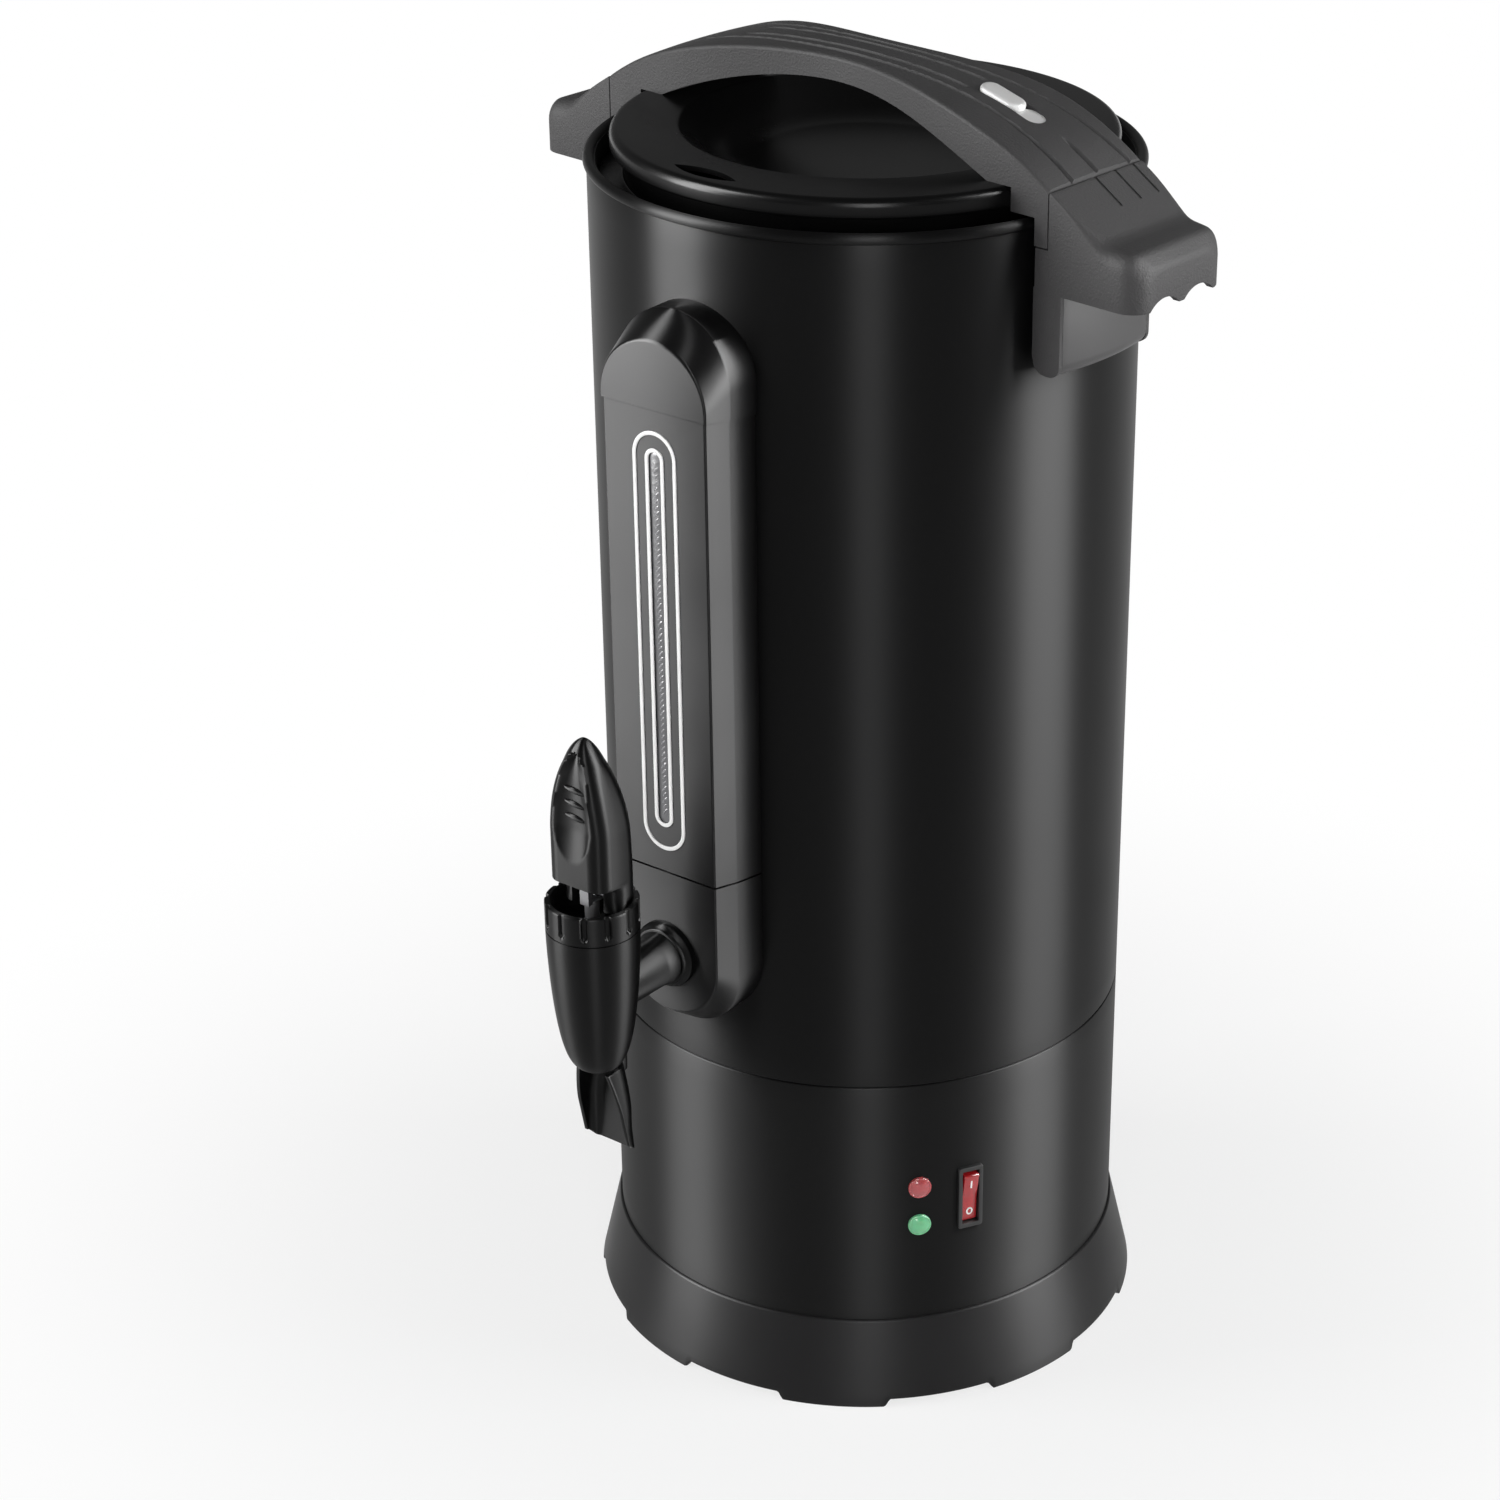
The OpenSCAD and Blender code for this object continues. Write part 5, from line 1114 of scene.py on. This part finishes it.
vent_r = (vent_l ** 2 + vent_w ** 2) / (4 * vent_w)
vent_mid = 92.25
vent_half = math.asin(vent_l / 2 / vent_r)
vent_arc = [vent_half * (i / 14 * 2 - 1) for i in range(15)]
vent = []
for side, arc in ((1, vent_arc), (-1, vent_arc[1:-1])):
    vent += [Vector((side * vent_r * math.sin(a),
                     side * (vent_r * math.cos(a) - vent_r + vent_w / 2) - vent_mid)) for a in arc]
combine(lid, slab("vent_cut", vent, lid_top - vent_deep, lid_top + 2, "z"), "DIFFERENCE")
dress(top_set(lid), lid_gloss, "lid", "lid_gloss", "lid_shell")
pan_low, pan_high = lid_top - 5.4, lid_top - 4.6
vent_pan = slab("vent_pan", vent, pan_low, pan_high, "z")
dress(top_set(vent_pan), lid_gloss, "lid", "lid_gloss")


# Arched handle
# A waisted arch of grained dark plastic that crosses the lid and carries it. Its legs stand on the
# lid's rim, its ends hang over the shell's bead, and a grooved cover closes its top.
handle_grain = finish("handle grain", (0.046, 0.045, 0.046), 0.62, 1100, 0.14, drift=16, tone=0.12,
                      Specular_IOR_Level=0.12)
arch_low = node_box("lid_handle")[0]
arch_top = node_box("handle_cover")[1].z
arch_end = shell_r + 5
arch_half = 28
waist_half = 17
waist_reach = 0.75 * arch_end
arch_drop = 27.2
arch_under = shell_high.z + 34.3
arch_under_r = 200
cover_t = 2.4
lip_r = shell_r + 2.2
lip_low = arch_low.z
rest_z = tank_high.z + 0.7
leg_in = lid_r - 9.5


def arch_z(x):
    """Height of the arch's top along its length."""
    return arch_top - arch_drop * ((x / arch_end) ** 2 + (x / arch_end) ** 4) / 2


def arch_w(x):
    """Half width of the arch along its length."""
    return waist_half + (arch_half - waist_half) * (1 - math.cos(math.pi * min(abs(x) / waist_reach, 1))) / 2


arch_xs = [arch_end * i / 60 for i in range(-60, 61)]
side_outline = [Vector((x, arch_z(x) - cover_t)) for x in arch_xs[::-1]]
side_outline += [Vector((-arch_end, lip_low)), Vector((-leg_in, lip_low))]
side_outline += [Vector((x, math.sqrt(arch_under_r ** 2 - x ** 2) + arch_under - arch_under_r))
                 for x in [leg_in * i / 40 for i in range(-40, 41)]]
side_outline += [Vector((leg_in, lip_low)), Vector((arch_end, lip_low))]
arch = slab("arch_body", side_outline, -arch_half - 5, arch_half + 5, "y")
plan = [Vector((x, -arch_w(x))) for x in arch_xs] + [Vector((x, arch_w(x))) for x in arch_xs[::-1]]
combine(arch, slab("arch_plan", plan, lip_low - 10, arch_top + 10, "z"), "INTERSECT")


def plug(name, radius, low, high):
    """A plain round cutter on the body's axis."""
    return spun(name, [Vector(p) for p in ((0, low), (radius, low), (radius, high), (0, high))], steps=240)


combine(arch, plug("lid_room", lid_r + 0.3, 0, lid_top), "DIFFERENCE")
combine(arch, plug("rim_room", lip_r, 0, rest_z), "DIFFERENCE")

groove_paths = [(-10.5, -14, -117, 117), (9.5, 21, -117, 117), (-5, -7, -60, 58), (4.5, 9, -60, 58),
                (0, 1, 102, 117), (0, 1, -117, -102)]
groove_w = 1.1
groove_d = 1.45
crown = 1.0
edge_round = 2.2


def groove_dip(x, y):
    """Depth of the moulded grooves in the cover's top."""
    dip = 0
    for start, end, x_low, x_high in groove_paths:
        centre = start + (end - start) * (abs(x) / arch_end) ** 1.5
        whole = x_high - x_low > 2 * arch_end - 1
        fade = 1 if whole else min(max((min(x - x_low, x_high - x) + 2) / 4, 0), 1)
        near = max(1 - abs(y - centre) / groove_w, 0)
        dip = max(dip, groove_d * fade * near * (2 - near))
    return dip


cover_cols, cover_rows = 180, 150
arch_crease = 40
cover_rings = []
for i in range(cover_cols + 1):
    x = arch_end * (i / cover_cols * 2 - 1)
    width = arch_w(x)
    under = arch_z(x) - cover_t
    ring = []
    for j in range(cover_rows + 1):
        y = width * (j / cover_rows * 2 - 1)
        inset = max(edge_round - (width - abs(y)), 0)
        rounding = edge_round - math.sqrt(max(edge_round ** 2 - inset ** 2, 0))
        fall = crown * (y / width) ** 2 + rounding * (cover_t - crown) / edge_round
        ring.append((x, y, max(arch_z(x) - fall - groove_dip(x, y), under)))
    cover_rings.append(ring + [(x, width, under), (x, -width, under)])
cover = skin("arch_cover", cover_rings, arch_crease)
lock_x = 76
lock_slope = math.asin(-lock_joint["axis"][2])
lock_travel = lock_joint["range_m"][1] / MM
lock_place = (Matrix.Translation(Vector((lock_x, 0, arch_z(lock_x))) * MM)
              @ Matrix.Rotation(lock_slope, 4, "Y"))
slot_half, slot_l = 5, 32
slide_top, slide_t = -4.4, 2
slide_under, slide_over = 0.5, 0.3
room_back, room_side = 4.5, 2.4
room_out = slot_l / 2 + lock_travel + 1


def lying_slot(half, start, end):
    """Points of a slot with round ends that lies along the slide."""
    return [Vector((p[1], -p[0])) for p in stadium(half, start, end)]


def lock_set(piece):
    """Moves a piece from the lock's own frame, with x along its slide, to its place in the arch."""
    piece.data.transform(lock_place)
    return piece


room_plan = rectangle(-slot_l / 2 - room_back, room_out, -slot_half - room_side, slot_half + room_side)
for piece in (cover, arch):
    slot_cut = slab("slot_cut", lying_slot(slot_half, -slot_l / 2, slot_l / 2), -8, 6, "z")
    combine(piece, lock_set(slot_cut), "DIFFERENCE", arch_crease)
    plate_room = slab("plate_room", fillet(room_plan), slide_top - slide_t - slide_under,
                      slide_top + slide_over, "z")
    combine(piece, lock_set(plate_room), "DIFFERENCE", arch_crease)
dress(top_set(cover), handle_grain, "lid", "handle_plastic", "handle_cover")
dress(top_set(arch), handle_grain, "lid", "handle_plastic", "lid_handle")


# Lid lock
# A white slider with a thumb bump lies in a slot in the arch's cover, and a fixed white shelf fills the
# slot's outer end. Pushed outwards, the slider drives a bolt into the right side handle.
thumb_half = slot_half - 0.4
thumb_start = -slot_l / 2 + 0.5
thumb_l = 21
plate_back, plate_ahead, plate_side = 3.5, 0.5, 2
shelf_low, shelf_high = -2.2, -1.2
shelf_start = lock_travel - 5
shelf_lap = 0.2
stem_gap = 0.2
plate_plan = rectangle(-slot_l / 2 - plate_back, slot_l / 2 + plate_ahead,
                       -slot_half - plate_side, slot_half + plate_side, 1)
slider_plate = slab("slider_plate", fillet(plate_plan), slide_top - slide_t, slide_top, "z")
dress(top_set(lock_set(slider_plate)), trim_white, "lock", "trim_white", "lock_slider")
thumb_rows = [(0, shelf_high + 0.2), (0, 0.2), (0.25, 0.8), (0.8, 1.3), (1.6, 1.55), (2.4, 1.6)]
thumb_rings = []
for inset, height in thumb_rows:
    ring = lying_slot(thumb_half - inset, thumb_start + inset, thumb_start + thumb_l - inset)
    thumb_rings.append([(*p, height) for p in ring])
thumb = skin("slider_thumb", thumb_rings)
dress(top_set(lock_set(thumb)), trim_white, "lock", "trim_white")
stem_plan = lying_slot(thumb_half - stem_gap, thumb_start + stem_gap, shelf_start - lock_travel - 0.3)
stem = slab("slider_stem", stem_plan, slide_top - 0.5, shelf_high + 0.6, "z")
dress(top_set(lock_set(stem)), trim_white, "lock", "trim_white")
shelf_plan = lying_slot(slot_half + shelf_lap, shelf_start, slot_l / 2 + shelf_lap)
shelf = slab("slot_shelf", shelf_plan, shelf_low, shelf_high, "z")
dress(top_set(lock_set(shelf)), trim_white, "lid", "trim_white")


# Side handles
# A hood of grained plastic on each side of the rim, hollow below for the fingers, with two cheeks
# that run down the shell and a smoother pad between them.
grip_x = shell_r + 48.5
grip_in = arch_end + 0.6
grip_back = shell_r - 12
grip_step = lip_low - 0.5
grip_top = shell_high.z - 1.2
grip_low = shell_high.z - 23.5
grip_crest = arch_z(arch_end) - 1.5
grip_wall = 3
grip_soft = 0.6
shoulder_x, shoulder_z = grip_x - 17.5, grip_top + 1.4
nose_r = 9.5
corner_start, corner_run = grip_in + 5, 26
corner_least, corner_more = 0.5, 6.5
station_gap = 1.5
shadow_gap = 2.8
finger_ball = 12
finger_deep = 4
finger_pitch = 21
finger_z = grip_low - finger_ball + finger_deep
pad_low = node_box("handle_pad_right")[0].z
pad_in, pad_r = shell_r + 0.3, shell_r + 15
pad_half, pad_top = 27, grip_low + 0.4
cheek_out = shell_r + 12.2
cheek_in = math.sqrt((shell_r + shadow_gap) ** 2 - arch_half ** 2) - 0.5
cheek_top = grip_low + 3
cheek_face, cheek_rear = arch_half - 0.04, arch_half - 1.8
bolt_in, bolt_out, bolt_half = 33.8, 51.3, 2.9
bolt_low, bolt_high = -17.6, -13.1
hood_grooves = (-1, 11, 22)
hood_groove_w, hood_groove_d, hood_groove_l = 1.4, 0.7, 13


def mirrored(piece, side):
    """Mirrors a piece to the left side, with its faces turned outwards again."""
    if side < 0:
        piece.data.transform(Matrix.Scale(-1, 4, (1, 0, 0)))
        tidy(piece)
    return piece


def hood_body(name):
    """The hood's outside, from slices across it whose upper corners grow rounder towards the front."""
    line = fillet([(grip_in, grip_step, 0), (grip_in, grip_crest, 0.4), (shoulder_x, shoulder_z, 16),
                   (grip_x - 5, grip_top - 0.2, 6), (grip_x, grip_top - 6, 5),
                   (grip_x, grip_low, 0)], 8)[1:-1]
    stations = [Vector((grip_back, grip_step)), Vector((grip_in, grip_step)), line[0]]
    for start, end in zip(line, line[1:]):
        parts = math.ceil((end - start).length / station_gap)
        stations += [start.lerp(end, i / parts) for i in range(1, parts + 1)]
    arc = [math.radians(90 * i / 8) for i in range(9)]
    rings = []
    for x, top in stations:
        out = max(x - grip_x + nose_r, 0)
        half = arch_half - nose_r + math.sqrt(max(nose_r ** 2 - out ** 2, 0))
        share = min(max((x - corner_start) / corner_run, 0), 1)
        radius = corner_least + corner_more * share ** 2 * (3 - 2 * share)
        left = [(-half, grip_low)]
        left += [(radius * (1 - math.cos(a)) - half, top - radius * (1 - math.sin(a))) for a in arc]
        rings.append([(x, y, z) for y, z in left] + [(x, -y, z) for y, z in left[::-1]])
    return skin(name, rings)


pad_smooth = finish("pad smooth", (0.060, 0.059, 0.060), 0.45, 1500, 0.02, drift=20, tone=0.08,
                    Specular_IOR_Level=0.12)
hollow_in, hollow_x, hollow_half = pad_r + 1, grip_x - grip_wall, arch_half - grip_wall
hollow_outline = fillet([(hollow_in, grip_low - 4, 0), (hollow_in, grip_crest - 14, 3),
                         (grip_x - 18, grip_top - 1.8, 10), (grip_x - 9, grip_top - grip_wall, 8),
                         (hollow_x, grip_top - grip_wall - 1, 4), (hollow_x, grip_low - 4, 0)], 6)
hollow_plan = fillet(rectangle(grip_back - 10, hollow_x, -hollow_half, hollow_half, 6.5), 8)
finger_turns = [math.radians(a) for a in range(0, 360, 5)]
cheek_outline = fillet([(cheek_in, cheek_top, 0), (cheek_out, cheek_top, 0),
                        (cheek_out, pad_low, 5), (cheek_in, pad_low, 7.5)], 8)
crest_fall = (grip_crest - shoulder_z) / (shoulder_x - grip_in)
groove_x, groove_z = grip_in + hood_groove_l, grip_crest - crest_fall * hood_groove_l
groove_side = [Vector(p) for p in ((grip_in - 1, grip_crest + crest_fall - hood_groove_d),
                                   (groove_x, groove_z - hood_groove_d), (groove_x + 3, groove_z + 1),
                                   (grip_in - 1, grip_crest + 8))]
pad_face = fillet([(-pad_half, pad_low, 2.5), (pad_half, pad_low, 2.5),
                   (pad_half, pad_top, 0.5), (-pad_half, pad_top, 0.5)], 8)
pad_section = fillet([(pad_in, pad_low, 7), (pad_r, pad_low, 6),
                      (pad_r, grip_low + 5, 0), (pad_in, grip_low + 5, 0)], 10)
strip_plan = fillet(rectangle(grip_back - 5, cheek_out + 0.15, pad_low - 5, grip_low + 5))
for side, word in ((1, "right"), (-1, "left")):
    hood = hood_body(f"hood_{word}")
    hollow = slab("hollow", hollow_outline, 1 - hollow_half, hollow_half - 1, "y")
    combine(hollow, slab("hollow_plan", hollow_plan, grip_low - 10, grip_crest + 10, "z"), "INTERSECT")
    combine(hood, hollow, "DIFFERENCE")
    for share in (-0.5, 0.5):
        ball = [Vector((finger_pitch * share + finger_ball * math.cos(a),
                        finger_z + finger_ball * math.sin(a))) for a in finger_turns]
        combine(hood, slab("finger", ball, grip_x - 1.5 * grip_wall, grip_x + 2, "x"), "DIFFERENCE")
    for cheek in (-1, 1):
        strip = slab("strip", cheek_outline, *sorted((cheek * cheek_rear, cheek * cheek_face)), "y")
        combine(hood, strip, "UNION")
    combine(hood, plug("shell_room", shell_r + shadow_gap, 0, shell_high.z - 0.5), "DIFFERENCE")
    if side > 0:
        bolt_plan = rectangle(bolt_in, bolt_out, -bolt_half, bolt_half)
        bolt_hole = slab("bolt_hole", fillet(bolt_plan), bolt_low, bolt_high, "z")
        combine(hood, lock_set(bolt_hole), "DIFFERENCE")
    soften(hood, grip_soft, limit=40)
    for groove_y in hood_grooves:
        near, far = groove_y - hood_groove_w / 2, groove_y + hood_groove_w / 2
        combine(hood, slab("groove", groove_side, near, far, "y"), "DIFFERENCE")
    dress(top_set(mirrored(hood, side)), handle_grain, "root", "handle_plastic", f"side_handle_{word}")
    pad = slab(f"grip_pad_{word}", pad_face, grip_back, pad_r + 5, "x")
    combine(pad, spun("pad_round", pad_section, steps=240), "INTERSECT")
    for cheek in (-1, 1):
        near, far = sorted((cheek * (arch_half - 1.9), cheek * (arch_half + 5)))
        combine(pad, slab("strip_room", strip_plan, near, far, "y"), "DIFFERENCE")
    soften(pad, grip_soft, limit=40)
    dress(top_set(mirrored(pad, side)), pad_smooth, "root", "handle_plastic", f"handle_pad_{word}")


# Inner parts
# What the shell hides keeps its own solid: plated base plate and bracket, the heater and its controls,
# the tap's stem, pins and seals, the lid's liner and all screws. The tap's spring is wound from steel
# wire.
plated = finish("plated steel", (0.36, 0.37, 0.38), 0.38, 600, 0.006, drift=40, Metallic=1.0)
# Painted shade: the seam band and the lever's two pins get near-black steel, so that the seam gap and the
# space under the lever read dark.
shade_painted_steel = finish("steel painted as shade", (0.02, 0.02, 0.021), 0.5, 600, 0.006, drift=40, Metallic=1.0)
screw_steel = finish("screw steel", (0.40, 0.41, 0.42), 0.32, 1500, 0.006, drift=90, Metallic=1.0)
aluminium = finish("cast aluminium", (0.55, 0.55, 0.56), 0.45, 500, 0.02, drift=40, Metallic=1.0)
sheath = finish("annealed sheath", (0.24, 0.21, 0.18), 0.42, 700, 0.008, drift=50, Metallic=1.0)
band_brass = finish("band brass", (0.46, 0.32, 0.14), 0.36, 700, 0.008, drift=50, Metallic=1.0)
ceramic = finish("control ceramic", (0.66, 0.64, 0.58), 0.35, 900, 0.01, drift=60, tone=0.06)
cup_black = finish("cup black", (0.014, 0.014, 0.015), 0.45, 1200, 0.012)
silicone = finish("seal silicone", (0.44, 0.41, 0.35), 0.6, 800, 0.01, drift=60, tone=0.08)
acetal = finish("latch acetal", (0.48, 0.48, 0.47), 0.4, 1200, 0.008)
inner_finish = {
    plated: ("base_plate", "tank_posts", "gauge_bracket"),
    # painted shade in the seam gap and under the lever
    shade_painted_steel: ("seam_band", "lever_pin", "link_pin"),
    steel: ("lid_liner", "tap_stem"),
    screw_steel: ("base_screws", "liner_screws", "arch_screws", "side_screws", "paddle_pin",
                  "shank_nut", "inlet_pins"),
    aluminium: ("heater_plate",),
    sheath: ("heating_element",),
    band_brass: ("keep_warm_band",),
    ceramic: ("thermostat", "thermal_cutout", "terminal_block"),
    control_black: ("lamp_nuts", "power_inlet"),
    scale_grey: ("scale_plate",),
    cup_black: ("gauge_lower_cup", "gauge_upper_cup", "shank_spacer"),
    silicone: ("shank_gasket", "seat_cup", "lid_gasket"),
    acetal: ("latch_bolt",),
}
for material, members in inner_finish.items():
    for member in members:
        slots = frame["nodes"][member].data.materials
        slots.clear()
        slots.append(material)
coil = bpy.data.objects.new("spring_coil", frame["nodes"]["tap_spring"].data.copy())
scene.collection.objects.link(coil)
tidy(coil)
dress(coil, screw_steel, "root", "fastener_steel", "tap_spring")
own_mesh(coil)


# Floor and light
# A plain pale floor that turns white away from the urn and keeps its shadow. Tall lights stand at the
# sides and behind the camera, in pairs: a hard one for the shine and a soft one for the colours.
floor_size = 30
shadow_r, white_r = 0.14, 0.55
least_white = 0.74
floor_mesh = bpy.data.meshes.new("floor")
floor_mesh.from_pydata([(x * floor_size, y * floor_size, 0) for x, y in ((-1, -1), (1, -1), (1, 1), (-1, 1))],
                       [], [(0, 1, 2, 3)])
floor = bpy.data.objects.new("floor", floor_mesh)
scene.collection.objects.link(floor)
floor_paint = finish("floor paint", (0.80, 0.80, 0.80), 0.9, 60, 0.01, tone=0.01, Specular_IOR_Level=0.1)
floor_mesh.materials.append(floor_paint)
floor_tree = floor_paint.node_tree
add, link = floor_tree.nodes.new, floor_tree.links.new
place, far, fade = add("ShaderNodeTexCoord"), add("ShaderNodeVectorMath"), add("ShaderNodeMapRange")
far.operation = "LENGTH"
fade.interpolation_type = "SMOOTHSTEP"
fade.inputs["From Min"].default_value = shadow_r
fade.inputs["From Max"].default_value = white_r
fade.inputs["To Min"].default_value = least_white
path, seen, both, share = (add("ShaderNodeLightPath"), add("ShaderNodeMath"), add("ShaderNodeMath"),
                           add("ShaderNodeMath"))
seen.operation = both.operation = "MAXIMUM"
share.operation = "MULTIPLY"
white, blend = add("ShaderNodeEmission"), add("ShaderNodeMixShader")
link(place.outputs["Object"], far.inputs[0])
link(far.outputs["Value"], fade.inputs["Value"])
link(path.outputs["Is Camera Ray"], seen.inputs[0])
link(path.outputs["Is Glossy Ray"], seen.inputs[1])
link(seen.outputs["Value"], both.inputs[0])
link(path.outputs["Is Transmission Ray"], both.inputs[1])
link(both.outputs["Value"], share.inputs[0])
link(fade.outputs["Result"], share.inputs[1])
link(share.outputs["Value"], blend.inputs["Fac"])
link(floor_tree.nodes["Principled BSDF"].outputs["BSDF"], blend.inputs[1])
link(white.outputs["Emission"], blend.inputs[2])
link(blend.outputs["Shader"], floor_tree.nodes["Material Output"].inputs["Surface"])


def strip_light(name, azimuth, distance, width, low, high, radiance, shine):
    """A tall light at an angle from the front towards +X, for the pieces' shine only or their colour only."""
    data = bpy.data.lights.new(name, "AREA")
    data.shape = "RECTANGLE"
    data.size, data.size_y = width, high - low
    data.energy = radiance * math.pi * width * (high - low)
    light = bpy.data.objects.new(name, data)
    angle = math.radians(azimuth)
    light.location = (distance * math.sin(angle), -distance * math.cos(angle), (low + high) / 2)
    facing = Vector((0, 0, 0.35)) - light.location
    light.rotation_euler = facing.to_track_quat("-Z", "Y").to_euler()
    light.visible_glossy = shine
    light.visible_diffuse = not shine
    scene.collection.objects.link(light)


strip_light("left shine", -43, 1.7, 0.8, 0.1, 2.0, 40, True)
strip_light("right shine", 114, 1.7, 0.85, 0.1, 2.0, 40, True)
strip_light("front shine", 38, 2.2, 0.5, 0.4, 2.2, 16, True)
strip_light("left soft", -48, 1.7, 0.8, 0.1, 1.3, 7, False)
strip_light("right soft", 117, 1.7, 0.8, 0.1, 1.3, 7, False)
strip_light("front soft", 38, 2.2, 1.0, 0.3, 1.5, 6, False)

world = bpy.data.worlds.new("surround")
scene.world = world
world.use_nodes = True
surround = world.node_tree.nodes["Background"]
surround.inputs["Color"].default_value = (1, 1, 1, 1)
surround.inputs["Strength"].default_value = 0.2
scene.view_settings.view_transform = "Standard"
